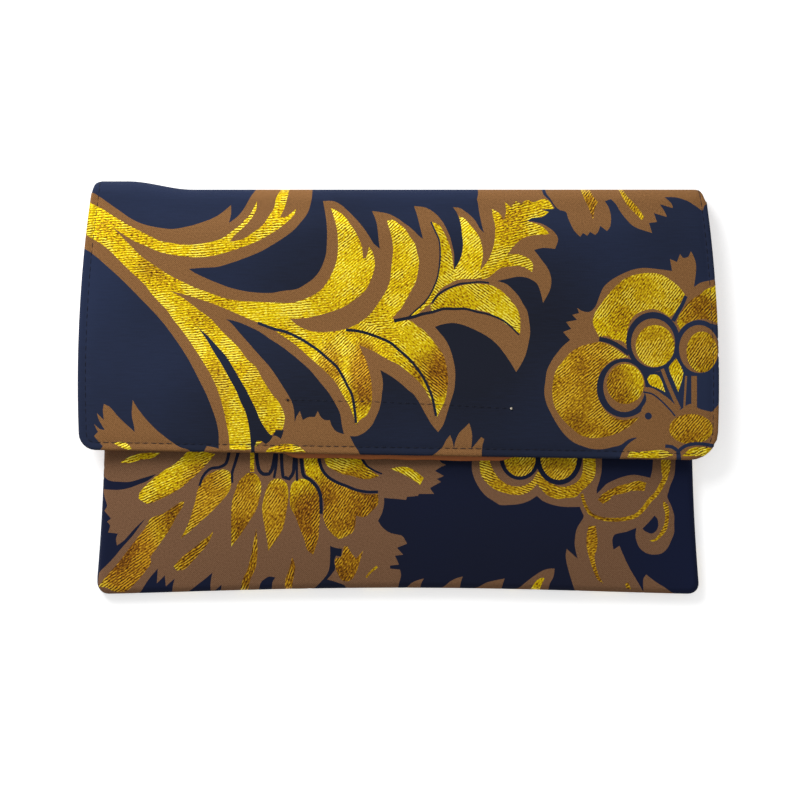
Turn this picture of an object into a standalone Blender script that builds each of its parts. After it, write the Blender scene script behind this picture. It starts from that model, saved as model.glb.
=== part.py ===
"""An envelope clutch bag in brocade, closed and lying on its back.

Metres, +Z up. The back panel lies on the ground at z = 0, the flap is uppermost with its fold
towards +Y and its hem towards -Y, and the origin is under the middle of the bag.

The bag is sewn from flat cuts. One brocade cut makes the back panel and runs over the fold into
the flap, and a second makes the front panel, sewn to the back along both sides and the foot. A
satin lining is cut the same way, and three stiff interlinings keep the walls flat between them.
A hook tape on the flap's lining meets a loop tape on the front panel.

Depth is measured from a wall's outer face inwards: cloth, interlining, lining, then the pocket.
"""

import math

import bmesh
import bpy
from mathutils import Vector

# Outline, as seen from above
BODY_WIDTH = 0.283
BODY_HEIGHT = 0.1898
BODY_CORNER_RADIUS = 0.0055
SIDE_PULL_IN = 0.0046
FOOT_PULL_IN = 0.0029
FOLD_WIDTH = 0.287
FOLD_CORNER_RADIUS = 0.0045
FOLD_CORNER_RISE = 0.0039
FOLD_RISE_START = 0.047
FOLD_RISE_END = 0.017
FLAP_WIDTH = 0.300
FLAP_DROP = 0.1245
FLAP_HEM_SLANT = 0.0050
FLAP_LEFT_CORNER_RADIUS = 0.0075
FLAP_RIGHT_CORNER_RADIUS = 0.0130
FLAP_WIDEST_ABOVE_HEM = 0.034
MOUTH_BELOW_FOLD = 0.0210

# Thickness of each layer, and the air between two layers that touch
CLOTH = 0.0008
INTERLINING = 0.0008
LINING = 0.0005
CLEARANCE = 0.0003
SEAM_CLEARANCE = 0.0007

# Fullness: the pocket's height at its seams and in its middle, and how the flap lies
POCKET_AT_SEAM = 0.0010
POCKET_FULLNESS = 0.0050
FOOT_RISE_LENGTH = 0.070
FOLD_HEIGHT = 0.0122
FOLD_BEND_DEPTH = 0.0060
FLAP_EDGE_SAG = 0.0022
FOLD_EDGE_SAG = 0.0008
FLAP_LIFT_LENGTH = 0.040
FLAP_CORNER_SETTLE = 0.0020

# Edges that are turned in, and how far each inner layer stops short of them
INTERLINING_SETBACK = 0.0050
FLAP_INTERLINING_SETBACK = 0.0030
FOLD_SETBACK = 0.0010
LINING_SETBACK = 0.0008
LINING_PEEK = 0.0020
LINING_PEEK_WIDTH = 0.104
LINING_PEEK_EASE = 0.010

# Closure tapes
TAPE_LENGTH = 0.104
TAPE_WIDTH = 0.020
TAPE_THICKNESS = 0.0010
TAPE_ABOVE_HEM = 0.0030

# Fineness of the meshes
ROLL_STEPS = 3
BEND_STEPS = 8
COLUMN_STEPS = 16
BACK_ROW_STEPS = 6
FLAP_ROW_STEPS = 10
TAPE_STEPS = 10

# Worked out from the sizes above
INTERLINING_DEPTH = CLOTH + CLEARANCE
LINING_DEPTH = INTERLINING_DEPTH + INTERLINING + CLEARANCE
WALL = LINING_DEPTH + LINING
SEAM_ROLL = WALL + POCKET_AT_SEAM / 2
HEM_ROLL = CLOTH + CLEARANCE + INTERLINING
FOOT_Y = -(BODY_HEIGHT + FOLD_CORNER_RISE) / 2
FOLD_Y = FOOT_Y + BODY_HEIGHT
MOUTH_Y = FOLD_Y - MOUTH_BELOW_FOLD
HEM_Y = FOLD_Y - FLAP_DROP
TAPE_STACK = 2 * (TAPE_THICKNESS + CLEARANCE)
FRONT_MIDDLE_HEIGHT = 2 * SEAM_ROLL + POCKET_FULLNESS
FLAP_MIDDLE_HEIGHT = FRONT_MIDDLE_HEIGHT + CLEARANCE + WALL


def ease(amount):
    """A smooth step from 0 to 1 as amount goes from 0 to 1."""
    held = min(max(amount, 0.0), 1.0)
    return held * held * (3 - 2 * held)


def mix(start, end, amount):
    return start + (end - start) * amount


def rounding(distance, radius):
    """How far a round of this radius falls away at a distance in from its edge."""
    if radius <= 0 or distance >= radius:
        return 0.0
    reach = radius - max(distance, 0.0)
    return radius - math.sqrt(radius * radius - reach * reach)


def distance_in(from_side, from_end, corner_radius):
    """Distance in from an outline with a rounded corner."""
    if from_side < corner_radius and from_end < corner_radius:
        return corner_radius - math.hypot(corner_radius - from_side, corner_radius - from_end)
    return min(from_side, from_end)


def body_half_width(y):
    """Half the width of the front and back panels: full at foot and fold, pulled in between."""
    share = (y - FOOT_Y) / BODY_HEIGHT
    held = min(max(share, 0.0), 1.0)
    return mix(BODY_WIDTH, FOLD_WIDTH, held) / 2 - SIDE_PULL_IN * 4 * held * (1 - held)


def foot_line(x):
    """The foot seam, which bows in between its two corners."""
    across = min(abs(2 * x / BODY_WIDTH), 1.0)
    return FOOT_Y + FOOT_PULL_IN * (1 - across * across) ** 1.5


def fold_line(x):
    """The fold's outermost edge, which stands up towards its left corner."""
    from_left = FOLD_WIDTH / 2 + x
    rise = ease((FOLD_RISE_START - from_left) / (FOLD_RISE_START - FOLD_RISE_END))
    return FOLD_Y + FOLD_CORNER_RISE * rise


def flap_half_width(y):
    """Half the flap's width, widest a little above the hem."""
    widest_y = HEM_Y + FLAP_WIDEST_ABOVE_HEM
    share = (y - widest_y) / (FOLD_Y - widest_y)
    return FLAP_WIDTH / 2 - (FLAP_WIDTH - FOLD_WIDTH) / 2 * share * share


def hem_line(x):
    """The flap's hem, a little lower on the right than on the left."""
    return HEM_Y - FLAP_HEM_SLANT * x / FLAP_WIDTH


def flap_corner_radius(x):
    return FLAP_LEFT_CORNER_RADIUS if x < 0 else FLAP_RIGHT_CORNER_RADIUS


def across_body(x, y):
    return min(abs(x) / body_half_width(y), 1.0)


def front_height(x, y):
    """The front panel's outer face before its edges are rolled: low at the seams, full between."""
    near_foot = 1 - min(max((y - FOOT_Y) / FOOT_RISE_LENGTH, 0.0), 1.0)
    fullness = (1 - across_body(x, y) ** 4) * (1 - near_foot**3)
    return 2 * SEAM_ROLL + POCKET_FULLNESS * fullness


def flap_height(x, y):
    """The flap's outer face: over the front panel, lifted by the tapes and lower at the fold."""
    across = abs(2 * x / FLAP_WIDTH)
    to_fold = ease((y - MOUTH_Y) / (fold_line(x) - FOLD_BEND_DEPTH - MOUTH_Y))
    middle = mix(FLAP_MIDDLE_HEIGHT, FOLD_HEIGHT, to_fold)
    sag = mix(FLAP_EDGE_SAG, FOLD_EDGE_SAG, to_fold) * across**4
    tape_top = hem_line(x) + TAPE_ABOVE_HEM + TAPE_WIDTH
    near_tape = ease((tape_top + FLAP_LIFT_LENGTH - y) / FLAP_LIFT_LENGTH)
    lift = (TAPE_STACK - FLAP_CORNER_SETTLE * across**3) * near_tape
    return middle - sag + lift


def edge_fractions(roll, length, steps, both_ends):
    """Stations from 0 to 1, close together round the roll at the start, and at the end if both."""
    turn = [1 - math.cos(math.pi / 2 * step / ROLL_STEPS) for step in range(ROLL_STEPS)]
    start = [share * roll / length for share in turn]
    first = roll / length
    last = 1 - first if both_ends else 1.0
    middle = [mix(first, last, step / steps) for step in range(steps + 1)]
    end = [1 - share for share in reversed(start)] if both_ends else []
    return start + middle + end


def column_stations(roll):
    """Places across a cloth, from -1 at its left edge to 1 at its right edge."""
    return [2 * share - 1 for share in edge_fractions(roll, BODY_WIDTH, COLUMN_STEPS, True)]


def body_start(across, inset):
    """Where a column of the body begins, at the foot seam or its rounded corner."""
    x = across * body_half_width(FOOT_Y + BODY_CORNER_RADIUS)
    from_side = (1 - abs(across)) * body_half_width(FOOT_Y)
    radius = max(BODY_CORNER_RADIUS - inset, SEAM_ROLL - inset)
    return foot_line(x) + inset + rounding(from_side, radius)


def body_roll(x, y, depth):
    """How far a layer at this depth has turned towards the seam, 0 on the flat."""
    radius = SEAM_ROLL - depth
    from_side = body_half_width(y) - depth - abs(x)
    from_foot = y - foot_line(x) - depth
    inside = distance_in(from_side, from_foot, max(BODY_CORNER_RADIUS, SEAM_ROLL) - depth)
    return rounding(inside, radius) * (radius - SEAM_CLEARANCE / 2) / radius


def fold_start(across):
    """Where the back panel begins to bend over, for one column."""
    x = across * FOLD_WIDTH / 2
    from_side = (1 - abs(across)) * FOLD_WIDTH / 2
    return fold_line(x) - rounding(from_side, FOLD_CORNER_RADIUS) - FOLD_BEND_DEPTH


def back_wall(across, share, depth):
    """A point of the back panel, from the foot seam to the start of the fold."""
    y = mix(body_start(across, depth), fold_start(across), share)
    x = across * (body_half_width(y) - depth)
    return Vector((x, y, depth + body_roll(x, y, depth)))


def front_wall(across, share, depth, mouth_roll, mouth_setback):
    """A point of the front panel, from the foot seam to the mouth."""
    mouth_y = MOUTH_Y - mouth_setback
    y = mix(body_start(across, depth), mouth_y, share)
    x = across * (body_half_width(y) - depth)
    turned = max(body_roll(x, y, depth), rounding(mouth_y - y, mouth_roll))
    return Vector((x, y, front_height(x, y) - depth - turned))


def fold_wall(across, turn, depth, side_inset, side_roll):
    """A point of the bend that takes the back panel over into the flap."""
    angle = math.pi * turn
    y = fold_start(across) + FOLD_BEND_DEPTH * math.sin(angle)
    half_width = body_half_width(y) if turn < 0.5 else flap_half_width(y)
    x = across * (half_width - side_inset)
    half_height = flap_height(x, fold_start(across)) / 2
    inwards = depth + rounding((1 - abs(across)) * half_width, side_roll)
    y -= inwards * math.sin(angle)
    return Vector((x, y, half_height - (half_height - inwards) * math.cos(angle)))


def flap_wall(across, share, depth, inset, hem_y, edge_roll):
    """A point of the flap, from the end of the fold to the hem, with its edges rolled under."""
    width_there = flap_half_width(HEM_Y + FLAP_WIDEST_ABOVE_HEM) - inset
    radius = max(flap_corner_radius(across) - inset, 0.0)
    from_side = (1 - abs(across)) * width_there
    last_y = hem_y(across * width_there) + inset + rounding(from_side, radius)
    y = mix(fold_start(across), last_y, share)
    half_width = flap_half_width(y) - inset
    x = across * half_width
    inside = distance_in(half_width - abs(x), y - hem_y(x) - inset, radius)
    turned = rounding(inside, edge_roll)
    return Vector((x, y, flap_height(x, y) - depth - turned))


def lining_hem_line(x):
    """The flap lining's lower edge, set back except where it shows below the hem."""
    beyond = abs(x) - LINING_PEEK_WIDTH / 2
    shown = 1 - ease(beyond / LINING_PEEK_EASE + 0.5)
    return hem_line(x) - (LINING_PEEK + LINING_SETBACK) * shown


def principled(name, colour, roughness, metallic=0.0):
    material = bpy.data.materials.new(name)
    material.use_nodes = True
    shader = material.node_tree.nodes["Principled BSDF"]
    shader.inputs["Base Color"].default_value = (*colour, 1.0)
    shader.inputs["Roughness"].default_value = roughness
    shader.inputs["Metallic"].default_value = metallic
    material.diffuse_color = (*colour, 1.0)
    return material


def laid_sheet(collection, name, columns, rows, place, thickness, grow, material):
    """One layer of cloth: a grid with each point put in place, thickened along its normals.

    grow is 1 where the layer's thickness lies on the side that the grid faces, and -1 otherwise.
    """
    form = bmesh.new()
    across_steps = len(columns) - 1
    along_steps = len(rows) - 1
    bmesh.ops.create_grid(form, x_segments=across_steps, y_segments=along_steps, size=0.5)
    for vert in form.verts:
        column = columns[round((vert.co.x + 0.5) * across_steps)]
        row = rows[round((vert.co.y + 0.5) * along_steps)]
        vert.co = place(column, row)
    mesh = bpy.data.meshes.new(name)
    form.to_mesh(mesh)
    form.free()
    mesh.shade_smooth()
    mesh.materials.append(material)
    sheet = bpy.data.objects.new(name, mesh)
    collection.objects.link(sheet)
    solidify = sheet.modifiers.new("thickness", "SOLIDIFY")
    solidify.thickness = thickness
    solidify.offset = grow
    solidify.use_even_offset = True
    return sheet


def even_steps(start, end, steps):
    return [mix(start, end, step / steps) for step in range(steps + 1)]


def build_back_and_flap_cloth(collection, material):
    """The brocade cut that is the back panel, the fold and the flap in one."""
    back_rows = [("back", s) for s in edge_fractions(SEAM_ROLL, BODY_HEIGHT, BACK_ROW_STEPS, False)]
    fold_rows = [("fold", s) for s in even_steps(0, 1, BEND_STEPS)[1:-1]]
    hem_shares = edge_fractions(HEM_ROLL, FLAP_DROP, FLAP_ROW_STEPS, False)
    flap_rows = [("flap", 1 - s) for s in reversed(hem_shares)]

    def place(across, row):
        zone, share = row
        if zone == "back":
            return back_wall(across, share, 0.0)
        if zone == "fold":
            return fold_wall(across, share, 0.0, 0.0, mix(SEAM_ROLL, HEM_ROLL, share))
        return flap_wall(across, share, 0.0, 0.0, hem_line, HEM_ROLL)

    rows = back_rows + fold_rows + flap_rows
    columns = column_stations(SEAM_ROLL)
    laid_sheet(collection, "back_and_flap_cloth", columns, rows, place, CLOTH, 1, material)


def build_front_cloth(collection, material):
    """The brocade front panel, its mouth edge turned in."""
    foot_shares = edge_fractions(SEAM_ROLL, MOUTH_Y - FOOT_Y, FLAP_ROW_STEPS, False)
    rows = [s for s in foot_shares if s < 1]
    rows += [1 - HEM_ROLL / (MOUTH_Y - FOOT_Y) * s for s in (1.0, 0.5, 0.134, 0.0)]

    def place(across, share):
        return front_wall(across, share, 0.0, HEM_ROLL, 0.0)

    columns = column_stations(SEAM_ROLL)
    laid_sheet(collection, "front_cloth", columns, rows, place, CLOTH, -1, material)


def build_back_and_flap_lining(collection, material):
    """The satin cut that lines the back panel and faces the underside of the flap."""
    depth = LINING_DEPTH
    back_shares = edge_fractions(SEAM_ROLL - depth, BODY_HEIGHT, BACK_ROW_STEPS, False)
    rows = [("back", s) for s in back_shares]
    rows += [("fold", s) for s in even_steps(0, 1, BEND_STEPS)[1:-1]]
    rows += [("flap", s) for s in even_steps(0, 1, FLAP_ROW_STEPS)]

    def place(across, row):
        zone, share = row
        if zone == "back":
            return back_wall(across, share, depth)
        if zone == "fold":
            side_inset = mix(depth, LINING_SETBACK, share)
            return fold_wall(across, share, depth, side_inset, (SEAM_ROLL - depth) * (1 - share))
        return flap_wall(across, share, depth, LINING_SETBACK, lining_hem_line, 0.0)

    columns = column_stations(SEAM_ROLL - depth)
    laid_sheet(collection, "back_and_flap_lining", columns, rows, place, LINING, 1, material)


def build_front_lining(collection, material):
    """The satin that lines the front panel."""
    depth = LINING_DEPTH
    rows = edge_fractions(SEAM_ROLL - depth, MOUTH_Y - FOOT_Y, FLAP_ROW_STEPS, False)

    def place(across, share):
        return front_wall(across, share, depth, 0.0, LINING_SETBACK)

    columns = column_stations(SEAM_ROLL - depth)
    laid_sheet(collection, "front_lining", columns, rows, place, LINING, -1, material)


def build_interlinings(collection, material):
    """The three stiff panels between brocade and lining, cut short of every seam and fold."""
    depth = INTERLINING_DEPTH
    columns = even_steps(-1, 1, COLUMN_STEPS)

    def back(across, share):
        first_y = foot_line(across * BODY_WIDTH / 2) + INTERLINING_SETBACK
        y = mix(first_y, fold_start(across) - FOLD_SETBACK, share)
        x = across * (body_half_width(y) - INTERLINING_SETBACK)
        return Vector((x, y, depth))

    def front(across, share):
        first_y = foot_line(across * BODY_WIDTH / 2) + INTERLINING_SETBACK
        y = mix(first_y, MOUTH_Y - INTERLINING_SETBACK, share)
        x = across * (body_half_width(y) - INTERLINING_SETBACK)
        return Vector((x, y, front_height(x, y) - depth))

    def flap(across, share):
        along = mix(FOLD_SETBACK / FLAP_DROP, 1.0, share)
        return flap_wall(across, along, depth, FLAP_INTERLINING_SETBACK, hem_line, 0.0)

    few_rows = even_steps(0, 1, BACK_ROW_STEPS)
    many_rows = even_steps(0, 1, FLAP_ROW_STEPS)
    laid_sheet(collection, "back_interlining", columns, few_rows, back, INTERLINING, 1, material)
    laid_sheet(collection, "front_interlining", columns, many_rows, front, INTERLINING, -1, material)
    laid_sheet(collection, "flap_interlining", columns, many_rows, flap, INTERLINING, 1, material)


def build_tapes(collection, loop_material, hook_material):
    """The closure: a loop tape on the front panel and a hook tape above it on the flap."""
    columns = even_steps(-TAPE_LENGTH / 2, TAPE_LENGTH / 2, TAPE_STEPS)
    rows = even_steps(TAPE_ABOVE_HEM, TAPE_ABOVE_HEM + TAPE_WIDTH, 2)

    def at_height(base):
        def place(x, above_hem):
            y = hem_line(x) + above_hem
            return Vector((x, y, front_height(x, y) + base))

        return place

    loop_base = at_height(CLEARANCE)
    hook_base = at_height(TAPE_THICKNESS + 2 * CLEARANCE)
    laid_sheet(collection, "loop_tape", columns, rows, loop_base, TAPE_THICKNESS, 1, loop_material)
    laid_sheet(collection, "hook_tape", columns, rows, hook_base, TAPE_THICKNESS, 1, hook_material)


def main():
    for old in list(bpy.data.objects):
        bpy.data.objects.remove(old, do_unlink=True)
    collection = bpy.data.collections.new("envelope_clutch_bag")
    bpy.context.scene.collection.children.link(collection)

    brocade = principled("navy_brocade", (0.020, 0.024, 0.050), 0.70)
    satin = principled("rust_satin", (0.42, 0.12, 0.03), 0.45)
    stiffening = principled("white_interlining", (0.75, 0.74, 0.70), 0.90)
    loops = principled("navy_loop_tape", (0.015, 0.018, 0.035), 0.95)
    hooks = principled("navy_hook_tape", (0.018, 0.021, 0.040), 0.55)

    build_back_and_flap_cloth(collection, brocade)
    build_front_cloth(collection, brocade.copy())
    build_back_and_flap_lining(collection, satin)
    build_front_lining(collection, satin.copy())
    build_interlinings(collection, stiffening)
    build_tapes(collection, loops, hooks)


main()
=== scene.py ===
"""Looks of a closed envelope clutch bag in figured brocade, lying on its back panel.

Metres, +Z up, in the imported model's frame: the flap is uppermost, its fold towards +Y and its hem
towards -Y. Each cloth is worked out flat, as it was cut, and then laid over the bag's form.
"""

from __future__ import annotations

import logging
import math
from dataclasses import dataclass
from enum import Enum
from functools import partial
from typing import Callable

import bpy
import numpy as np
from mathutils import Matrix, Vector
from mathutils.geometry import delaunay_2d_cdt
from mathutils.kdtree import KDTree

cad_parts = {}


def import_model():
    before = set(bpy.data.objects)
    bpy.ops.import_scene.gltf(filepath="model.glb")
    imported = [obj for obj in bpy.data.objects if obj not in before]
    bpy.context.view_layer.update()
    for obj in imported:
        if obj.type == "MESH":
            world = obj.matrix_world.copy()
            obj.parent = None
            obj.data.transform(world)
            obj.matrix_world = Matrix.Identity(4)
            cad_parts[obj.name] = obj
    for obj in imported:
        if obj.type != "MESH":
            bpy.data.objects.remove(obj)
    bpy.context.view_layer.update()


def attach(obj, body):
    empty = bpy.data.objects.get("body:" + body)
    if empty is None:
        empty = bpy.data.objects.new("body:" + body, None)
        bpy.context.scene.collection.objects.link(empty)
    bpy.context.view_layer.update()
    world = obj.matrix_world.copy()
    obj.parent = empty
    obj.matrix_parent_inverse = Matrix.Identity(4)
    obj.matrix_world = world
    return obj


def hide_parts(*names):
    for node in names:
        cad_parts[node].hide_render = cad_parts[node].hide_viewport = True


LOG = logging.getLogger("clutch")
BODY = "root"
MILLIMETRE = 0.001
QUARTER_TURN = math.pi / 2
SETTLING_ROUNDS = 4

Array = np.ndarray
Placing = Callable[[Array, Array], Array]
Piece = bpy.types.Object
Material = bpy.types.Material
Socket = bpy.types.NodeSocket
Colour = tuple[int, int, int]
Scale = tuple[tuple[float, Colour], ...]


def ease(amount: Array) -> Array:
    """A smooth step from 0 to 1 as amount goes from 0 to 1."""
    held = np.clip(amount, 0.0, 1.0)
    return held * held * (3 - 2 * held)


def mix(start: Array, end: Array, amount: Array) -> Array:
    """A value between start and end."""
    return start + (end - start) * amount


def rounding(distance: Array, radius: float) -> Array:
    """How far a round of this radius falls away at a distance in from its edge."""
    reach = np.clip(radius - np.maximum(distance, 0.0), 0.0, radius)
    return radius - np.sqrt(radius * radius - reach * reach)


@dataclass(frozen=True)
class BagForm:
    """The closed bag's outlines and heights, the same as its solids have."""

    body_width: float = 0.283
    body_height: float = 0.1898
    body_corner_radius: float = 0.0055
    side_pull_in: float = 0.0046
    foot_pull_in: float = 0.0029
    fold_width: float = 0.287
    fold_corner_radius: float = 0.0045
    fold_corner_rise: float = 0.0039
    fold_rise_start: float = 0.047
    fold_rise_end: float = 0.017
    flap_width: float = 0.300
    flap_drop: float = 0.1245
    hem_slant: float = 0.0050
    hem_left_radius: float = 0.0075
    hem_right_radius: float = 0.0130
    flap_widest_above_hem: float = 0.034
    mouth_below_fold: float = 0.0210
    wall: float = 0.0027
    clearance: float = 0.0003
    pocket_at_seam: float = 0.0010
    pocket_fullness: float = 0.0050
    foot_rise_length: float = 0.070
    fold_height: float = 0.0122
    bend_depth: float = 0.0060
    flap_edge_sag: float = 0.0022
    fold_edge_sag: float = 0.0008
    flap_lift_length: float = 0.040
    flap_corner_settle: float = 0.0020
    tape_length: float = 0.104
    tape_width: float = 0.020
    tape_thickness: float = 0.0010
    tape_above_hem: float = 0.0030

    @property
    def foot_y(self) -> float:
        """The foot seam's height in the plan, at the corners."""
        return -(self.body_height + self.fold_corner_rise) / 2

    @property
    def fold_y(self) -> float:
        """The fold's outermost edge, right of its raised corner."""
        return self.foot_y + self.body_height

    @property
    def mouth_y(self) -> float:
        """The front panel's upper edge."""
        return self.fold_y - self.mouth_below_fold

    @property
    def hem_y(self) -> float:
        """The middle of the flap's hem."""
        return self.fold_y - self.flap_drop

    @property
    def seam_height(self) -> float:
        """The seams' height above the ground."""
        return self.wall + self.pocket_at_seam / 2

    @property
    def tape_stack(self) -> float:
        """The height of both closure tapes with their air."""
        return 2 * (self.tape_thickness + self.clearance)

    @property
    def bend_length(self) -> float:
        """The cloth that the fold's half turn takes."""
        return math.pi * self.bend_depth

    def body_half_width(self, y: Array) -> Array:
        """Half the width of the front and back panels: full at foot and fold, pulled in between."""
        share = np.clip((y - self.foot_y) / self.body_height, 0.0, 1.0)
        straight = mix(self.body_width, self.fold_width, share) / 2
        return straight - self.side_pull_in * 4 * share * (1 - share)

    def foot_line(self, x: Array) -> Array:
        """The foot seam, which bows in between its two corners."""
        across = np.clip(np.abs(2 * x / self.body_width), 0.0, 1.0)
        return self.foot_y + self.foot_pull_in * (1 - across * across) ** 1.5

    def bend_start(self, x: Array) -> Array:
        """Where the flap begins to bend over the fold, which stands up towards its left corner."""
        from_left = self.fold_width / 2 + x
        rise = ease((self.fold_rise_start - from_left) / (self.fold_rise_start - self.fold_rise_end))
        return self.fold_y + self.fold_corner_rise * rise - self.bend_depth

    def flap_half_width(self, y: Array) -> Array:
        """Half the flap's width, widest a little above the hem."""
        widest_y = self.hem_y + self.flap_widest_above_hem
        share = (y - widest_y) / (self.fold_y - widest_y)
        return self.flap_width / 2 - (self.flap_width - self.fold_width) / 2 * share * share

    def hem_line(self, x: Array) -> Array:
        """The flap's hem, a little lower on the right than on the left."""
        return self.hem_y - self.hem_slant * x / self.flap_width

    def hem_radius(self, x: Array) -> Array:
        """The radius of the hem's corner on each place's side."""
        return np.where(x < 0, self.hem_left_radius, self.hem_right_radius)

    def front_height(self, x: Array, y: Array) -> Array:
        """The front panel's outer face before its edges turn in: low at the seams, full between."""
        across = np.clip(np.abs(x) / self.body_half_width(y), 0.0, 1.0)
        near_foot = 1 - np.clip((y - self.foot_y) / self.foot_rise_length, 0.0, 1.0)
        fullness = (1 - across**4) * (1 - near_foot**3)
        return 2 * self.seam_height + self.pocket_fullness * fullness

    def flap_height(self, x: Array, y: Array) -> Array:
        """The flap's outer face: over the front panel, lifted by the tapes, lower at the fold."""
        across = np.abs(2 * x / self.flap_width)
        to_fold = ease((y - self.mouth_y) / (self.bend_start(x) - self.mouth_y))
        resting = 2 * self.seam_height + self.pocket_fullness + self.clearance + self.wall
        middle = mix(resting, self.fold_height, to_fold)
        sag = mix(self.flap_edge_sag, self.fold_edge_sag, to_fold) * across**4
        tape_top = self.hem_line(x) + self.tape_above_hem + self.tape_width
        near_tape = ease((tape_top + self.flap_lift_length - y) / self.flap_lift_length)
        lift = (self.tape_stack - self.flap_corner_settle * across**3) * near_tape
        return middle - sag + lift


@dataclass(frozen=True)
class Turning:
    """How a cloth's edge is turned in: two quarter bends, then a flat allowance."""

    first: float
    second: float
    allowance: float

    def stations(self, depth: float, inner: int) -> list[float]:
        """Distances in for rings from the raw edge to the inside of the stitched border.

        Args:
            depth: The distance in of the innermost ring.
            inner: How many rings lie inside the turn.

        Returns:
            The distances, the raw edge's first.
        """
        along = [(self.first + self.second) * QUARTER_TURN + self.allowance]
        along += [(self.first + self.second * share) * QUARTER_TURN for share in (1.0, 0.5)]
        along += [self.first * QUARTER_TURN * share for share in (1.0, 0.75, 0.5, 0.25, 0.0)]
        outer = [self.first - station for station in along]
        return outer + [mix(self.first, depth, (step + 1) / inner) for step in range(inner)]


HEM_TURNING = Turning(first=0.00105, second=0.00105, allowance=0.0018)
SEAM_TURNING = Turning(first=0.0027, second=0.00035, allowance=0.0014)
MOUTH_TURNING = Turning(first=0.0010, second=0.0010, allowance=0.0018)


def turned_in(along: Array, first: Array, second: Array) -> tuple[Array, Array]:
    """Places on a cloth that turns in at its edge by two quarter bends, one after the other.

    Args:
        along: Length of cloth from where the turn begins.
        first: Radius of the first bend.
        second: Radius of the second bend, after which the cloth runs back inwards.

    Returns:
        How far out from the start of the turn, and how far below it, each place lies.
    """
    first_angle = np.clip(along / first, 0.0, QUARTER_TURN)
    beyond = along - first * QUARTER_TURN
    second_angle = np.clip(beyond / second, 0.0, QUARTER_TURN)
    straight = np.maximum(beyond - second * QUARTER_TURN, 0.0)
    out = first * np.sin(first_angle) - second * (1 - np.cos(second_angle)) - straight
    drop = first * (1 - np.cos(first_angle)) + second * np.sin(second_angle)
    return out, drop


class Yarn(Enum):
    """The yarn that shows on the cloth's face."""

    GROUND = 0
    BRONZE = 1
    GOLD = 2


@dataclass(frozen=True)
class Motif:
    """A patch of the woven figure, which lies over the motifs listed before it.

    Places are in the photograph's pixels. rib is the way that a gold patch's ribs run, in degrees
    anticlockwise from the weft.
    """

    yarn: Yarn
    points: str
    rib: float = 0.0

    def chosen(self) -> Array:
        """The points as one row of x and y each."""
        return np.array([[float(part) for part in pair.split(",")] for pair in self.points.split()])

    def polygon(self) -> Array:
        """The patch's outline."""
        return smooth_line(self.chosen(), closed=True)


@dataclass(frozen=True)
class Vein(Motif):
    """A narrow line, whose width goes from the first of its widths to the second."""

    widths: tuple[float, ...] = (3.0, 3.0)

    def polygon(self) -> Array:
        """The line's outline."""
        line = smooth_line(self.chosen(), closed=False)
        tangent = np.gradient(line, axis=0)
        tangent /= np.linalg.norm(tangent, axis=1)[:, None]
        across = np.stack([-tangent[:, 1], tangent[:, 0]], axis=1)
        width = mix(*self.widths, np.linspace(0, 1, len(line)))[:, None]
        return np.concatenate([line + across * width / 2, (line - across * width / 2)[::-1]])


@dataclass(frozen=True)
class Oval(Motif):
    """An ellipse about its one place."""

    radii: tuple[float, ...] = (1.0, 1.0)

    def polygon(self) -> Array:
        """The ellipse's outline."""
        count = max(int(math.tau * max(self.radii) / CURVE_STEP), 12)
        angle = np.linspace(0, math.tau, count, endpoint=False)
        return self.chosen() + np.stack([np.cos(angle), np.sin(angle)], axis=1) * self.radii


CURVE_STEP = 2.2
TIP_ANGLE = 58.0


def smooth_line(points: Array, closed: bool) -> Array:
    """Runs a smooth curve through points, sharp only at tips and notches, past TIP_ANGLE degrees.

    Args:
        points: One row of x and y for each point.
        closed: Whether the last point joins the first.

    Returns:
        Places along the curve, about CURVE_STEP apart.
    """
    count = len(points)
    before, after = np.roll(points, 1, axis=0), np.roll(points, -1, axis=0)
    come, leave = points - before, after - points
    come_length = np.maximum(np.linalg.norm(come, axis=1), 1e-6)
    leave_length = np.maximum(np.linalg.norm(leave, axis=1), 1e-6)
    straight = np.clip((come * leave).sum(axis=1) / (come_length * leave_length), -1, 1)
    sharp = np.degrees(np.arccos(straight)) > TIP_ANGLE
    if not closed:
        sharp[0] = sharp[-1] = True
    heading = (after - before) / (come_length + leave_length)[:, None]
    found = []
    for index in range(count if closed else count - 1):
        following = (index + 1) % count
        chord, length = leave[index], leave_length[index]
        start_pull = chord if sharp[index] else heading[index] * length
        end_pull = chord if sharp[following] else heading[following] * length
        steps = max(int(round(length / CURVE_STEP)), 1)
        share = (np.arange(steps) / steps)[:, None]
        squared, cubed = share**2, share**3
        found.append(
            (2 * cubed - 3 * squared + 1) * points[index]
            + (cubed - 2 * squared + share) * start_pull
            + (3 * squared - 2 * cubed) * points[following]
            + (cubed - squared) * end_pull
        )
    if not closed:
        found.append(points[-1:])
    return np.concatenate(found)


def read_drawing(text: str) -> tuple[Motif, ...]:
    """Reads a figure's motifs, painted in order.

    Args:
        text: For each motif its yarn, its options, a colon, its places and a semicolon. The options
            are rib and an angle, line and its two widths, or oval and its two radii. A line that
            begins with # is a heading.

    Returns:
        The motifs.
    """
    body = "\n".join(row for row in text.splitlines() if not row.startswith("#"))
    found: list[Motif] = []
    for entry in body.split(";")[:-1]:
        head, places = entry.split(":")
        name, *options = head.split()
        yarn = Yarn[name.upper()]
        rib = float(options[options.index("rib") + 1]) if "rib" in options else 0.0
        measures = tuple(float(word) for word in options[-2:]) if len(options) > 2 else ()
        if "line" in options:
            found.append(Vein(yarn, places, rib, widths=measures))
        elif "oval" in options:
            found.append(Oval(yarn, places, rib, radii=measures))
        else:
            found.append(Motif(yarn, places, rib))
    return tuple(found)


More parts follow.
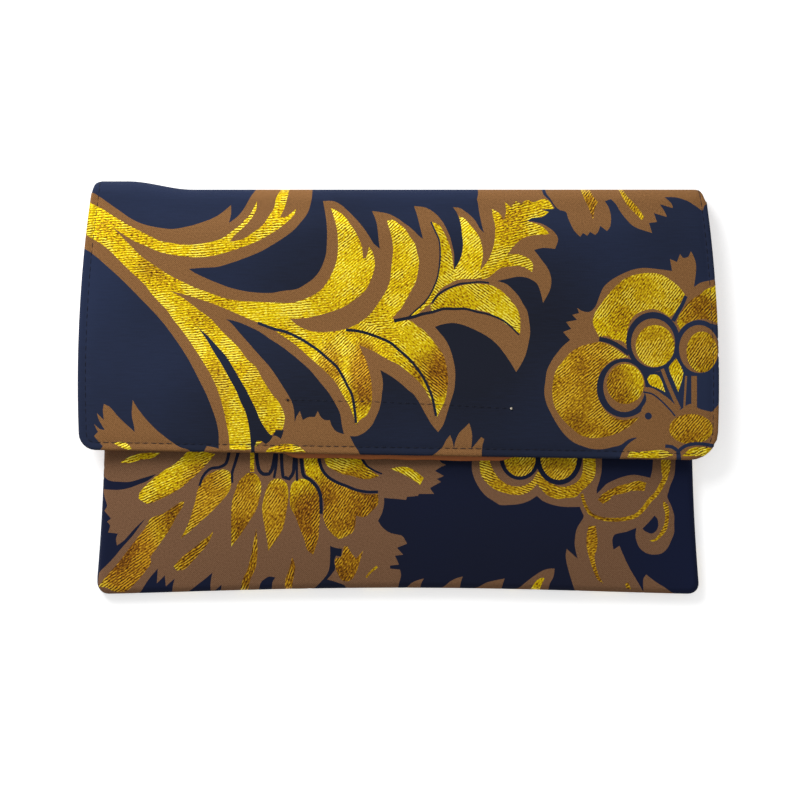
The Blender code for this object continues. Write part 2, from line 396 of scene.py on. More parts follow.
FLAP_DRAWING = """
# The large frond's bronze edging
bronze: 66,236 66,176 86,188 100,197 110,204 120,211 130,218 140,223 150,226 161,228 173,229 190,226
  200,223 211,219 220,214 231,205 231,214 229,223 237,217 243,210 251,196 255,190 258,178 312,178 312,196
  310,206 307,214 301,222 294,230 285,237 274,244 260,252 240,260 228,264 217,267 200,268 189,269 195,273
  210,280 220,284 231,288 250,292 271,293 283,291 297,289 306,284 313,279 319,272 323,264 326,254 327,241
  327,229 326,218 323,201 333,201 340,204 347,210 354,217 362,226 369,236 374,244 380,249 379,243 377,225
  375,218 372,211 380,212 389,214 397,218 404,223 412,229 419,236 423,239 421,231 417,215 414,206 424,207
  429,209 436,214 442,221 446,228 450,237 452,245 454,254 454,270 459,262 462,252 463,242 462,232 460,222
  457,213 453,207 460,208 466,212 472,217 476,222 480,229 484,233 482,226 479,211 478,203 477,199 478,195
  478,176 543,176 543,193 550,201 555,208 540,210 549,212 541,217 532,218 527,221 534,222 542,224 549,228
  554,232 558,239 555,249 543,248 534,250 537,254 543,262 548,269 551,278 551,285 549,292 543,303 540,291
  537,284 530,279 523,277 516,277 507,279 497,281 506,284 513,290 519,297 523,304 527,311 529,321 530,333
  528,345 525,356 520,366 516,372 510,362 500,348 492,340 483,334 473,329 463,325 452,323 440,325 435,327
  439,332 445,339 450,349 453,359 455,370 455,380 454,390 450,403 447,413 443,425 438,432 432,425 426,415
  415,396 407,389 399,382 389,375 380,370 382,376 383,385 382,393 381,402 379,410 376,417 372,425 365,432
  357,436 350,436 355,446 359,452 366,472 219,472 219,449 219,436 218,427 215,416 207,395 201,383 189,360
  176,340 160,319 140,298 120,278 100,260 90,252 83,248 70,240;
# Its ground eye and slit
ground: 226,319 238,322 250,327 260,332 270,339 281,346 294,356 310,370 320,382 329,393 335,403 340,413
  342,425 344,434 340,433 336,431 332,426 330,420 325,420 321,417 318,411 315,417 309,417 303,420 300,411
  297,416 295,422 294,409 292,402 289,396 284,388 277,377 270,367 261,357 254,349 246,340 239,332 231,323;
# The frond's gold, from the stem to the end of its second branch
gold rib 4: 76,192 89,202 101,208 110,214 120,220 130,226 140,231 150,236 160,241 171,243 186,245 200,244
  211,242 221,239 230,233 239,226 246,219 251,213 257,201 256,210 251,219 243,228 234,236 230,242 243,239
  254,232 263,225 269,216 274,208 276,198 280,190 282,176 290,176 289,190 287,199 284,209 280,217 285,217
  290,214 296,209 294,215 286,223 274,232 260,240 246,246 231,251 217,255 203,257 191,257 180,256 168,254
  157,251 146,246 134,241 112,227 120,235 131,246 141,256 151,263 160,269 171,276 183,282 196,288 210,293
  224,298 240,301 260,302 280,303 292,303 302,300 312,296 322,289 329,279 334,269 337,259 338,249 338,239
  337,229 335,221 331,208 339,212 345,217 350,224 355,231 359,239 362,247 363,259 366,258 369,247 372,251
  374,257 375,265 373,274 370,282 365,291 357,298 349,304 339,309 327,313 316,316 305,318 290,319 297,325
  307,330 317,332 327,332 337,331 349,328 357,324 366,318 372,312 377,305 382,298 387,289 390,281 391,271
  392,261 393,251 392,239 387,221 393,220 399,224 405,229 410,237 415,244 417,252 419,261 418,271 416,281
  412,289 407,298 402,307 396,314 392,319 404,320 411,321 417,326 423,330 430,337 436,345 442,353 445,360
  447,370 448,380 447,390 445,400 442,407 437,417 434,407 430,399 425,390 419,382 409,373 399,365 389,360
  380,355 373,351 359,345 362,352 366,360 369,370 371,380 372,390 372,400 370,409 366,416 360,420 356,425
  353,415 350,407 343,395 336,383 327,373 307,355 297,346 289,340 281,335 270,327 261,323 254,321 240,315
  226,309 211,303 196,298 183,294 170,291 180,296 190,303 199,310 211,319 220,329 230,339 239,348 247,359
  256,367 261,376 267,386 273,395 279,402 283,410 285,417 284,425 282,430 271,435 251,449 230,449 229,435
  227,425 225,415 222,403 219,393 215,383 210,373 204,363 197,352 189,340 181,329 173,319 167,310 160,303
  151,293 146,286 140,280 130,271 120,261 110,251 100,243 91,238 72,224;
# The slit that parts the stem's gold
ground: 196,324 200,330 207,340 214,352 221,363 230,379 237,392 241,402 245,410 248,420 250,432 251,443
  252,472 256,472 255,447 257,441 262,441 266,444 270,441 273,436 276,430 284,430 283,434 281,439 277,436
  271,435 264,426 260,419 256,409 251,399 246,389 240,379 233,367 226,356 217,346 209,337 200,329;
# The third branch and the end of the frond
gold rib 14: 432,222 439,225 443,231 447,239 450,247 452,255 453,264 454,270 459,262 462,254 463,245
  462,235 461,225 459,216 465,219 470,225 476,232 480,239 482,247 483,254 482,261 480,271 487,262 491,254
  494,244 495,234 495,225 493,217 492,209 499,213 504,220 506,212 505,202 511,207 516,201 521,204 527,200
  534,202 543,199 549,201 554,209 540,209 549,212 542,217 532,218 527,221 533,223 539,225 545,229 549,234
  542,235 535,235 526,237 519,241 513,247 507,255 516,254 523,256 530,260 533,265 532,272 523,267 515,266
  506,267 499,269 493,274 487,278 480,279 466,279 457,280 449,284 442,288 436,295 432,302 426,307 417,314
  409,317 416,311 423,304 429,297 433,288 437,278 439,268 440,258 440,248 438,239 435,231;
gold rib -14: 430,306 437,297 445,292 452,288 460,286 470,284 480,284 489,285 497,288 505,294 512,302
  517,309 520,318 520,334 506,324 497,318 489,313 477,310 459,308 442,308 432,311;
# Ribs of ground between the gold leaves
ground line 3 2.6: 258,323 274,329 286,332 299,338 309,344 319,351 327,358 336,366 342,375 347,385 352,395
  355,412 356,423;
ground line 3 2.6: 346,330 357,331 369,334 389,342 399,350 409,359 416,367 423,377 428,387 432,397
  436,416;
ground line 3.5 1.6: 394,321 413,317 423,314 433,312 443,309 454,309 466,309 477,312 487,314 500,319
  509,325 519,335;
ground line 2.4 1.8: 432,303 437,296 445,290 452,287 460,284 470,283 480,282 489,283;
ground line 1.6 1.6: 431,222 435,231 439,240 440,249 440,259 439,269 437,279 433,289 428,298 422,305
  414,312 409,317;
# The fan at the left end of the hem
bronze: 104,404 110,407 117,415 124,422 135,432 134,425 132,415 133,400 137,407 143,415 149,422 156,429
  163,435 171,441 180,447 190,451 196,472 84,472 103,446 100,443 94,436 98,432 94,424 100,429 105,430
  99,420 97,413 104,420 103,410;
gold rib 20: 114,443 120,442 126,443 132,448 130,450 123,448 117,445;
bronze: 203,456 205,450 207,446 213,447 219,449 222,456;
gold rib 10: 266,452 268,449 275,446 283,444 292,444 300,447 306,452;
# The leaf tips at the middle of the hem
bronze: 424,472 432,456 437,452 443,446 446,440 450,435 452,440 454,449 455,442 459,433 465,427 469,423
  471,429 472,437 471,449 476,443 481,437 484,439 482,447 481,472;
# The leaves at the right of the fold
bronze: 546,176 546,192 550,198 556,207 560,210 566,212 568,218 571,225 575,232 580,237 583,233 587,236
  590,232 595,235 598,232 600,226 607,231 610,227 611,217 609,208 605,201 611,199 616,204 620,211 626,219
  633,226 642,230 652,233 649,223 657,222 654,213 667,217 665,212 660,204 673,208 672,204 665,197 675,197
  683,199 690,202 703,211 705,205 709,203 712,176;
gold rib 60: 581,189 584,198 588,206 593,219 595,208 598,202 593,196 590,189;
gold rib 60: 619,189 623,198 629,207 635,213 642,220 644,217 639,209 633,202 627,196 623,189;
# The flower's bronze edging
bronze: 595,307 599,297 603,288 610,281 620,275 632,270 643,268 657,269 672,271 670,259 677,262 680,254
  683,258 688,257 691,251 694,257 696,264 696,272 694,287 700,283 707,281 730,277 730,472 616,472 620,457
  623,450 629,443 638,437 629,439 620,445 612,447 603,449 593,449 585,447 573,442 563,433 556,423 550,412
  546,403 544,393 545,382 547,370 552,360 557,353 563,346 570,340 563,332 571,329 566,322 577,320 572,315
  579,313 577,308 582,311 589,312;
# Its gold petals
gold rib 52: 685,295 680,288 672,281 662,275 652,273 639,274 626,278 615,287 606,297 599,307 594,315
  593,324 599,337 606,336 612,339 622,341 626,345 627,332 629,325 633,317 640,312 653,309 662,312 669,317
  673,315 680,305;
gold rib 48: 690,301 699,295 707,289 730,280 730,326 720,324 706,319 695,320 686,324 680,329 677,322
  682,311;
gold rib 40: 600,342 589,344 579,347 570,353 562,362 556,370 553,380 552,392 553,402 556,410 562,419
  570,427 580,435 592,438 603,437 615,434 625,429 633,423 639,417 630,419 622,420 613,417 606,412 600,403
  597,395 597,385 599,375 605,366 613,360 628,357 620,352 613,347 606,344;
ground line 3.6 4.4: 686,296 682,305 678,312 673,321;
ground line 4.6 4.6: 599,339 608,341 618,346 629,354;
# Its ground heart, with the seeds and their stalks
ground: 640,366 655,372 668,366 676,340 686,326 700,322 722,326 730,372 728,392 712,412 700,409 690,404
  682,412 672,404 662,396 651,389 642,388 636,378;
ground oval 27 30: 653,342;
bronze oval 22 24.5: 653,343;
gold rib 55 oval 19.5 21: 655,346;
ground oval 24.5 29: 699,349;
bronze oval 20 24: 699,349;
gold rib 55 oval 15.5 20.5: 702,352;
ground oval 27.5 29.5: 624,388;
bronze oval 21 25: 624,387;
gold rib 55 oval 18.5 20: 625,384;
bronze: 643,387 652,388 662,394 670,400 680,410 690,404 700,409 710,412 730,405 730,472 636,472 636,440
  641,410 646,400;
gold rib 60: 676,358 683,372 681,383 678,392 674,382 670,373 669,367;
gold rib 60: 647,379 650,375 657,375 661,380 665,392 657,388 650,385;
bronze line 3.4 4: 662,369 667,382 673,396 679,409;
bronze line 2 2: 686,376 685,392 684,409;
bronze line 5.6 5.6: 694,376 694,392 694,408;
ground line 1.6 1.6: 643,392 652,394 660,400 669,409 675,416;
ground oval 3.6 3.6: 648,416;
gold rib 50 oval 22 15: 691,429;
ground line 3.5 3.5: 665,446 672,447 678,451 685,446 693,444 703,444 714,446;
ground line 4 5: 678,450 679,464;
gold: 627,457 630,451 637,452 657,450 666,451 673,455 660,458;
gold rib 20: 682,456 690,449 700,447 712,449 716,456;
"""

FRONT_DRAWING = """
# The spread flower's bronze, from the side seam to its toothed right edge
bronze: 84,440 440,440 440,461 446,465 441,467 435,471 444,476 437,479 441,482 430,488 434,494 419,494
  418,496 407,497 406,500 396,499 384,498 384,504 382,513 378,521 382,527 390,533 402,536 405,540 407,544
  397,548 403,555 395,556 399,565 390,566 390,569 400,570 401,576 399,584 396,604 84,604;
# Ground between its petals
ground: 84,477 101,477 109,481 119,482 129,482 140,479 156,474 147,481 137,485 129,488 119,490 109,490
  84,488;
ground: 84,493 101,493 106,506 103,511 110,519 106,522 109,526 107,533 117,534 115,539 116,546 123,541
  132,531 139,524 145,519 140,525 132,536 122,547 112,559 102,569 84,584;
ground: 132,606 139,594 147,581 157,569 156,584 164,576 165,587 174,579 172,587 170,606;
ground: 180,606 187,594 196,586 205,579 212,573 210,583 210,606;
ground: 212,606 214,593 221,585 219,606;
ground: 256,606 260,584 265,579 269,577 275,578 272,583 271,606;
ground: 330,546 335,548 342,549 341,557 336,556 334,561 335,569 332,574 327,580 337,583 345,587 350,606
  300,606 312,592 320,583 326,576 329,569 330,557;
# The fan's leaves along the left
gold rib 20: 119,463 127,458 137,454 147,453 160,453 152,458 140,460 129,463;
gold rib 24: 215,454 190,450 183,456 176,463 166,469 155,477 145,486 139,493 138,499 147,504 156,501
  167,496 179,489 190,480 200,471 209,461;
gold rib 30: 219,470 226,470 230,473 231,480 230,489 225,497 217,506 209,514 200,522 190,531 180,539
  185,530 189,521 192,511 195,501 197,491 202,481 209,474;
gold rib 55: 247,473 255,474 260,480 261,489 259,500 256,510 250,520 243,531 231,547 231,513 232,501
  235,491 239,481 245,475;
gold line 4 4: 252,446 252,472;
gold rib 55: 275,479 280,479 286,483 288,490 288,501 286,513 284,524 280,534 268,551 267,541 265,530
  263,519 262,507 264,497 267,487 271,481;
gold rib 55: 291,486 296,480 303,479 310,481 316,487 320,496 320,506 320,516 319,527 318,539 313,555
  307,550 304,539 299,527 295,516 290,506;
gold rib 55: 303,446 315,446 319,466 326,474 335,481 345,487 355,491 366,494 378,494 378,504 373,510
  365,517 356,516 355,526 352,533 345,537 339,539 332,534 326,526 323,516 324,506 322,496 319,486 313,479
  306,474;
gold rib -22: 322,446 358,446 365,464 372,471 379,476 370,479 362,479 352,476 342,474 332,469 326,464;
gold rib -38: 390,469 399,467 410,468 424,478 420,485 413,480 405,475 396,471;
gold rib 55: 335,559 341,557 344,547 347,546 351,553 356,559 363,551 360,561 356,573 350,581 342,581
  337,573 335,566;
gold line 1.8 2.6: 366,578 370,573 377,567;
gold rib 35: 184,501 179,503 170,509 162,514 150,519 146,526 140,534 132,544 123,556 115,566 106,576
  99,585 96,588 105,588 112,592 123,593 129,589 137,581 145,571 150,564 150,557 155,550 162,540 169,530
  176,517 182,507;
gold rib 35: 213,531 209,536 202,541 195,547 187,553 179,560 173,567 176,571 183,570 190,564 199,554
  206,546 211,537;
gold rib 70: 256,529 253,544 250,559 247,570 242,581 238,604 245,604 250,580 255,569 257,556 257,541;
gold rib 70: 292,557 289,569 285,581 284,604 289,604 293,579 295,567;
# Ribs of ground where the petals meet the hem
ground line 3.5 2.4: 230,446 226,463 220,467 210,469 203,476 199,486;
ground line 3.5 2.4: 240,446 235,463 232,473 232,483;
ground line 3.6 3.6: 256,446 257,461 259,470 263,474 269,474 272,469 274,460 276,446;
ground line 3.2 2.6: 277,446 276,465 274,478;
ground line 3.4 3.4: 281,446 282,469 283,477 289,479 293,473 294,463 295,446;
ground line 3 2.4: 296,446 297,481;
ground line 3.6 3.4: 300,446 302,467 304,476 310,480 316,486 320,494 321,504 321,514;
ground line 3.4 2.8: 317,446 321,467 327,476 336,482 346,486 356,490 367,492 378,492;
ground line 3 1.6: 360,456 367,466 375,471 382,474;
# The half flower under the hem
bronze: 472,440 472,461 472,470 475,480 480,489 486,496 495,502 500,505 510,505 520,504 529,501 537,496
  543,501 553,505 565,507 580,507 584,516 597,500 597,490 600,480 602,469 602,440;
gold rib -20: 479,440 480,469 482,477 488,484 496,490 505,493 515,495 525,494 533,489 537,484 542,490
  547,495 557,499 567,498 576,497 582,491 590,484 595,476 596,466 594,440 583,440 583,469 580,479 572,485
  562,487 553,484 546,479 538,471 532,481 523,486 512,486 502,481 495,473 490,461 489,440;
ground oval 20.5 23: 520,457;
gold rib 50 oval 16 18.5: 520,458;
ground oval 23.5 28: 559,457;
gold rib 50 oval 18.5 23: 559,457;
# The tendril and the leaf under it
bronze: 654,440 653,469 651,478 642,476 633,475 623,477 615,480 607,484 602,489 597,494 580,507 584,516
  578,527 576,533 575,544 576,551 578,559 567,549 566,556 567,563 569,571 572,581 580,606 652,606 637,580
  631,570 626,560 622,551 620,546 614,550 613,544 613,539 615,535 622,533 627,532 637,528 636,536 637,541
  640,548 646,553 653,555 662,554 668,549 672,541 675,533 675,524 675,516 672,506 668,497 669,493 671,486
  675,476 676,467 677,440;
ground: 655,516 649,523 643,529 645,531 652,534 657,531 659,526 658,519;
gold line 3 5: 582,494 585,504 590,513 599,518 612,520 626,519 636,516 644,509 650,501 657,494 662,486
  666,478;
gold rib 50: 662,440 662,470 664,480 668,479 671,469 672,440;
gold rib 30: 598,500 603,494 612,489 619,486 627,484 639,481 647,483 645,491 633,491 622,494 613,496
  609,501 603,504;
gold rib 20: 664,501 669,506 670,514 669,524 667,531 661,538 655,542 650,541 656,539 662,531 665,524
  666,514 664,507;
gold rib 20: 589,526 596,526 597,533 598,541 597,550 595,557 599,575 604,584 598,580 592,566 589,556
  587,547 587,536;
gold rib 20: 626,584 629,583 632,590 627,589;
# Leaf tips along the foot
bronze: 400,600 410,585 417,581 424,579 421,585 420,600;
bronze: 432,600 449,583 456,579 463,577 461,583 459,600;
bronze: 462,600 485,584 495,581 505,579 503,585 500,600;
bronze: 508,600 518,590 526,583 535,576 543,571 550,569 555,569 554,577 550,585 548,600;
gold rib 50: 529,600 532,589 537,581 543,578 545,579 541,588 540,600;
bronze: 645,600 644,580 647,575 652,579 659,584 667,589 680,600;
"""


@dataclass(frozen=True)
class Spot:
    """An oval of the photograph that sets the gold's painted amber shade, or the way its ribs run, apart
    from what its motif says.
    """

    centre: tuple[float, float]
    radii: tuple[float, float]
    value: float

    def reach(self, places: Array) -> Array:
        """How far out each place lies, 0 at the centre and 1 on the oval."""
        return np.hypot(*((places - self.centre) / self.radii).T)


# Painted shade on the gold: within each oval the gold is darkened towards amber, up to its value, where it
# took less light.
AMBER_SHADE_SPOTS: tuple[Spot, ...] = (
    Spot((154, 266), (16, 12), 0.45),
    Spot((215, 395), (16, 36), 0.4),
    Spot((262, 380), (14, 30), 0.25),
    Spot((364, 374), (14, 34), 0.95),
    Spot((330, 370), (12, 26), 0.7),
    Spot((439, 372), (13, 26), 0.95),
    Spot((418, 372), (8, 18), 0.5),
    Spot((586, 350), (28, 14), 0.75),
    Spot((590, 395), (44, 48), 0.75),
    Spot((620, 425), (30, 20), 0.75),
    Spot((640, 300), (44, 30), 0.3),
    Spot((654, 344), (20, 20), 0.45),
    Spot((700, 312), (22, 20), 0.85),
    Spot((704, 352), (18, 20), 0.75),
    Spot((690, 427), (26, 18), 0.85),
    Spot((512, 193), (28, 8), 0.4),
    Spot((592, 204), (12, 22), 0.8),
    Spot((628, 202), (14, 20), 0.6),
    Spot((130, 560), (34, 46), 1.0),
    Spot((168, 515), (20, 22), 0.75),
    Spot((205, 500), (26, 40), 0.8),
    Spot((246, 515), (18, 44), 0.85),
    Spot((276, 518), (16, 40), 0.85),
    Spot((306, 525), (16, 38), 1.0),
    Spot((346, 505), (38, 36), 0.9),
    Spot((362, 474), (24, 8), 0.5),
    Spot((193, 555), (22, 22), 0.85),
    Spot((250, 565), (14, 34), 0.85),
    Spot((290, 575), (12, 24), 0.95),
    Spot((350, 562), (24, 26), 0.95),
    Spot((540, 480), (64, 22), 0.6),
    Spot((590, 470), (9, 30), 0.3),
    Spot((620, 500), (48, 26), 0.7),
    Spot((665, 500), (22, 44), 0.7),
    Spot((594, 555), (20, 36), 0.85),
    Spot((630, 580), (14, 14), 0.7),
)

RIB_DEGREES: tuple[Spot, ...] = (
    Spot((352, 250), (30, 70), 38.0),
    Spot((403, 262), (24, 70), 38.0),
    Spot((350, 372), (38, 56), 42.0),
    Spot((426, 368), (32, 56), -38.0),
    Spot((442, 262), (13, 46), -36.0),
    Spot((478, 310), (46, 26), -36.0),
    Spot((470, 248), (15, 34), 40.0),
)


@dataclass(frozen=True)
class PhotoFrame:
    """Where the photograph's pixels lie in the plan."""

    metres_per_pixel: float = 0.0004673
    origin_x: float = 398.35
    origin_y: float = 387.65

    def plan(self, pixels: Array) -> tuple[Array, Array]:
        """The x and y of places in the photograph."""
        x = (pixels[:, 0] - self.origin_x) * self.metres_per_pixel
        return x, (self.origin_y - pixels[:, 1]) * self.metres_per_pixel

    def pixels(self, x: Array, y: Array) -> Array:
        """The photograph's pixel for each place of the plan."""
        across = self.origin_x + x / self.metres_per_pixel
        return np.stack([across, self.origin_y - y / self.metres_per_pixel], axis=1)


def inside(polygon: Array, places: Array) -> Array:
    """Finds the places inside an outline.

    Args:
        polygon: One row of x and y for each corner of the outline.
        places: One row of x and y for each place.

    Returns:
        Whether each place is inside.
    """
    found = np.zeros(len(places), dtype=bool)
    boxed = (places >= polygon.min(axis=0)) & (places <= polygon.max(axis=0))
    near = np.nonzero(boxed.all(axis=1))[0]
    x, y = places[near, 0], places[near, 1]
    crossed = np.zeros(len(near), dtype=bool)
    for start, end in zip(polygon, np.roll(polygon, -1, axis=0)):
        spans = (start[1] > y) != (end[1] > y)
        slope = (end[0] - start[0]) / ((end[1] - start[1]) or 1.0)
        crossed ^= spans & (x < start[0] + (y - start[1]) * slope)
    found[near] = crossed
    return found


@dataclass(frozen=True)
class Figure:
    """The woven figure of one cut: which yarn shows where."""

    motifs: tuple[Motif, ...]
    frame: PhotoFrame = PhotoFrame()
    # How far the painted amber shade reaches past each oval, and how softly it fades.
    amber_shade_reach: float = 1.3
    amber_shade_fade: float = 0.6

    def outlines(self) -> list[tuple[Array, Array]]:
        """Every motif's outline in the plan, as its x and its y."""
        return [self.frame.plan(motif.polygon()) for motif in self.motifs]

    def yarns(self, x: Array, y: Array) -> tuple[Array, Array]:
        """Finds the yarn that shows at places of the plan.

        Args:
            x: Places across the bag.
            y: Places along the bag.

        Returns:
            Each place's yarn number, and the way its ribs run in radians.
        """
        places = self.frame.pixels(x, y)
        yarn = np.zeros(len(places), dtype=int)
        rib = np.zeros(len(places))
        for motif in self.motifs:
            hit = inside(motif.polygon(), places)
            yarn[hit] = motif.yarn.value
            rib[hit] = math.radians(motif.rib)
        for spot in RIB_DEGREES:
            rib[spot.reach(places) < 1] = math.radians(spot.value)
        return yarn, rib

    def amber_shade(self, x: Array, y: Array) -> Array:
        """How much painted shade darkens the gold yarn to amber at places of the plan, from 0 to 1."""
        places = self.frame.pixels(x, y)
        found = np.zeros(len(places))
        for spot in AMBER_SHADE_SPOTS:
            strength = ease((self.amber_shade_reach - spot.reach(places)) / self.amber_shade_fade)
            found = np.maximum(found, spot.value * strength)
        return found


def mesh_object(name: str, points: Array, faces: list[tuple[int, ...]]) -> Piece:
    """A smooth mesh object at the origin.

    Args:
        name: The piece's name.
        points: One row of x, y and z for each corner.
        faces: The corners of each face.

    Returns:
        The new object, linked to the scene.
    """
    mesh = bpy.data.meshes.new(name)
    mesh.from_pydata([Vector(point) for point in points], [], faces)
    mesh.validate()
    mesh.shade_smooth()
    piece = bpy.data.objects.new(name, mesh)
    bpy.context.scene.collection.objects.link(piece)
    return piece


def lay_flat(piece: Piece, flat: Array) -> Array:
    """Records the cloth's flat places as its UV map.

    Args:
        piece: The piece.
        flat: The flat place of each of its mesh's points.

    Returns:
        The flat place of each corner of each face.
    """
    loops = np.empty(len(piece.data.loops), dtype=np.int32)
    piece.data.loops.foreach_get("vertex_index", loops)
    layer = piece.data.uv_layers.new(name="cloth")
    layer.data.foreach_set("uv", flat[loops].astype(np.float32).ravel())
    return flat[loops]


def thicken(piece: Piece, thickness: float) -> None:
    """Gives an open sheet its thickness, on the side away from its faces."""
    solidify = piece.modifiers.new("thickness", "SOLIDIFY")
    solidify.thickness = thickness
    solidify.offset = -1.0
    solidify.use_even_offset = False


@dataclass(frozen=True)
class Brocade:
    """One brocade cut: an outline in the flat, and the form that it is laid over.

    A flat place is (x, v). Its sides are at x = -half_width(v) and half_width(v), and its ends at
    v = low_end(x) and high_end(x). All four are the folded edges, and the cloth goes on beyond them
    by its turnings.
    """

    form: BagForm
    figure: Figure
    grid_step: float = 0.0035
    edge_step: float = 0.0025
    corner_steps: int = 6
    thickness: float = 0.0005
    ring_depth: float = 0.0043
    outline_clearance: float = 0.0010
    edge_margin: float = 0.0002
    merge_millimetres: float = 1e-4

    def half_width(self, v: Array) -> Array:
        """Half the width between the folded sides."""
        raise NotImplementedError

    def low_end(self, x: Array) -> Array:
        """The folded edge at the cloth's low end."""
        raise NotImplementedError

    def high_end(self, x: Array) -> Array:
        """The folded edge at the cloth's high end."""
        raise NotImplementedError

    def corner_radius(self, x: Array, high: Array) -> Array:
        """The radius of the corner nearest to each place."""
        raise NotImplementedError

    def turning(self, x: Array, v: Array) -> tuple[Array, Array]:
        """The radii of both bends of the turned edge nearest to each place."""
        raise NotImplementedError

    def surface(self, x: Array, v: Array) -> tuple[Array, Array]:
        """The cloth's outer face and the way it looks, before its edges are turned in."""
        raise NotImplementedError

    def figure_place(self, x: Array, v: Array) -> tuple[Array, Array]:
        """The place of the figure, in the plan, that is woven at each flat place."""
        raise NotImplementedError

    def repeats(self, x: Array, y: Array) -> list[tuple[Array, Array, Array]]:
        """Every repeat of an outline of the figure: its x, its v and which corners to keep."""
        raise NotImplementedError

    def edge_distances(self) -> list[float]:
        """The distances in of the rings that carry the turned edge and the stitched border."""
        raise NotImplementedError

    def seam_lines(self) -> list[Array]:
        """Flat lines at which one repeat of the figure meets the next."""
        return []

    def middle_v(self) -> float:
        """A place between the two ends, nearer to neither."""
        return float(self.low_end(np.array(0.0)) + self.high_end(np.array(0.0))) / 2

    def inwards(self, x: Array, v: Array) -> tuple[Array, Array, Array]:
        """The distance in from the folded outline, and the direction that leads inwards.

        Args:
            x: Flat places across the cloth.
            v: Flat places along the cloth.

        Returns:
            The distance, negative outside the outline, and the direction's x and v.
        """
        high = v > self.middle_v()
        from_side = self.half_width(v) - np.abs(x)
        from_end = np.where(high, self.high_end(x) - v, v - self.low_end(x))
        radius = self.corner_radius(x, high)
        side_way = -np.sign(x)
        end_way = np.where(high, -1.0, 1.0)
        over_side = radius - from_side
        over_end = radius - from_end
        reach = np.maximum(np.hypot(over_side, over_end), 1e-9)
        at_corner = (over_side > 0) & (over_end > 0)
        by_side = from_side < from_end
        distance = np.where(at_corner, radius - reach, np.minimum(from_side, from_end))
        way_x = np.where(at_corner, side_way * over_side / reach, np.where(by_side, side_way, 0.0))
        way_v = np.where(at_corner, end_way * over_end / reach, np.where(by_side, 0.0, end_way))
        return distance, way_x, way_v

    def place(self, x: Array, v: Array) -> Array:
        """Lays flat places over the form, with the edges turned in.

        Args:
            x: Flat places across the cloth.
            v: Flat places along the cloth.

        Returns:
            One row of x, y and z for each place.
        """
        distance, way_x, way_v = self.inwards(x, v)
        first, second = self.turning(x, v)
        along = np.maximum(first - distance, 0.0)
        out, drop = turned_in(along, first, second)
        shift = np.where(along > 0, first - out - distance, 0.0)
        points, facing = self.surface(x + way_x * shift, v + way_v * shift)
        return points - facing * np.where(along > 0, drop, 0.0)[:, None]

    def ring(self, distance: float) -> Array:
        """Flat places all round the cloth at one distance in from its folded outline.

        Args:
            distance: How far in, or how far out where it is negative.

        Returns:
            One row of x and v for each place, in order round the cloth.
        """
        points: list[tuple[float, float]] = []
        ends = ((-1, False), (1, False), (1, True), (-1, True))
        for index, (side, high) in enumerate(ends):
            points += self.corner_places(side, high, distance, index)
            next_side, next_high = ends[(index + 1) % 4]
            start = np.array(points[-1])
            finish = np.array(self.corner_places(next_side, next_high, distance, index + 1)[0])
            steps = max(int(np.linalg.norm(finish - start) / self.edge_step), 2)
            for step in range(1, steps):
                guess = mix(start, finish, step / steps)
                points.append(self.on_edge(guess, distance, along_end=side != next_side, high=high))
        return np.array(points)

    def on_edge(self, guess: Array, distance: float, along_end: bool, high: bool) -> tuple[float, float]:
        """Moves a rough place onto a straight stretch of a ring.

        Args:
            guess: The rough x and v.
            distance: The ring's distance in from the outline.
            along_end: Whether the stretch runs along an end, and not along a side.
            high: Whether that end is the high one.

        Returns:
            The x and v on the ring.
        """
        x, v = float(guess[0]), float(guess[1])
        if not along_end:
            return math.copysign(float(self.half_width(np.array(v))) - distance, x), v
        end = self.high_end if high else self.low_end
        inward = -distance if high else distance
        return x, float(end(np.array(x))) + inward

    def corner_places(
        self, side: int, high: bool, distance: float, turn: int
    ) -> list[tuple[float, float]]:
        """Places round one corner of a ring.

        Args:
            side: -1 for the left and 1 for the right.
            high: Whether the corner is at the high end.
            distance: The ring's distance in from the outline.
            turn: How many corners come before it, which gives the order of its places.

        Returns:
            The x and v of each place, in order.
        """
        radius = float(self.corner_radius(np.array(float(side)), np.array(high)))
        angles = [QUARTER_TURN * step / self.corner_steps for step in range(self.corner_steps + 1)]
        if turn % 2 == 1:
            angles.reverse()
        end = self.high_end if high else self.low_end
        found = []
        for angle in angles:
            from_side = radius - (radius - distance) * math.cos(angle)
            from_end = radius - (radius - distance) * math.sin(angle)
            x = side * self.form.body_width / 2
            v = 0.0
            for _ in range(SETTLING_ROUNDS):
                v = float(end(np.array(x))) + (-from_end if high else from_end)
                x = side * (float(self.half_width(np.array(v))) - from_side)
            found.append((x, v))
        return found

    def cut_size(self, distance: float) -> tuple[tuple[float, float], float]:
        """The width, length and area of a cut that ends at one distance in from the outline."""
        ring = self.ring(distance)
        x, v = ring[:, 0], ring[:, 1]
        area = abs(float(np.dot(x, np.roll(v, -1)) - np.dot(v, np.roll(x, -1)))) / 2
        return (float(np.ptp(x)), float(np.ptp(v))), area

    def outline_lines(self) -> list[Array]:
        """Cuts the figure's outlines down to this cloth.

        Returns:
            Flat lines, each one row of x and v for each of its corners.
        """
        raw_edge = self.edge_distances()[0]
        lines = []
        for x, y in self.figure.outlines():
            closed_x, closed_y = np.append(x, x[0]), np.append(y, y[0])
            for flat_x, flat_v, kept in self.repeats(closed_x, closed_y):
                distance, _, _ = self.inwards(flat_x, flat_v)
                on_cloth = distance > raw_edge + self.edge_margin
                joined = on_cloth[:-1] & on_cloth[1:] & (kept[:-1] | kept[1:])
                places = np.stack([flat_x, flat_v], axis=1)
                starts = np.nonzero(np.diff(np.concatenate([[0], joined.astype(int), [0]])))[0]
                lines += [places[low : high + 1] for low, high in zip(starts[::2], starts[1::2])]
        return lines + self.seam_lines()

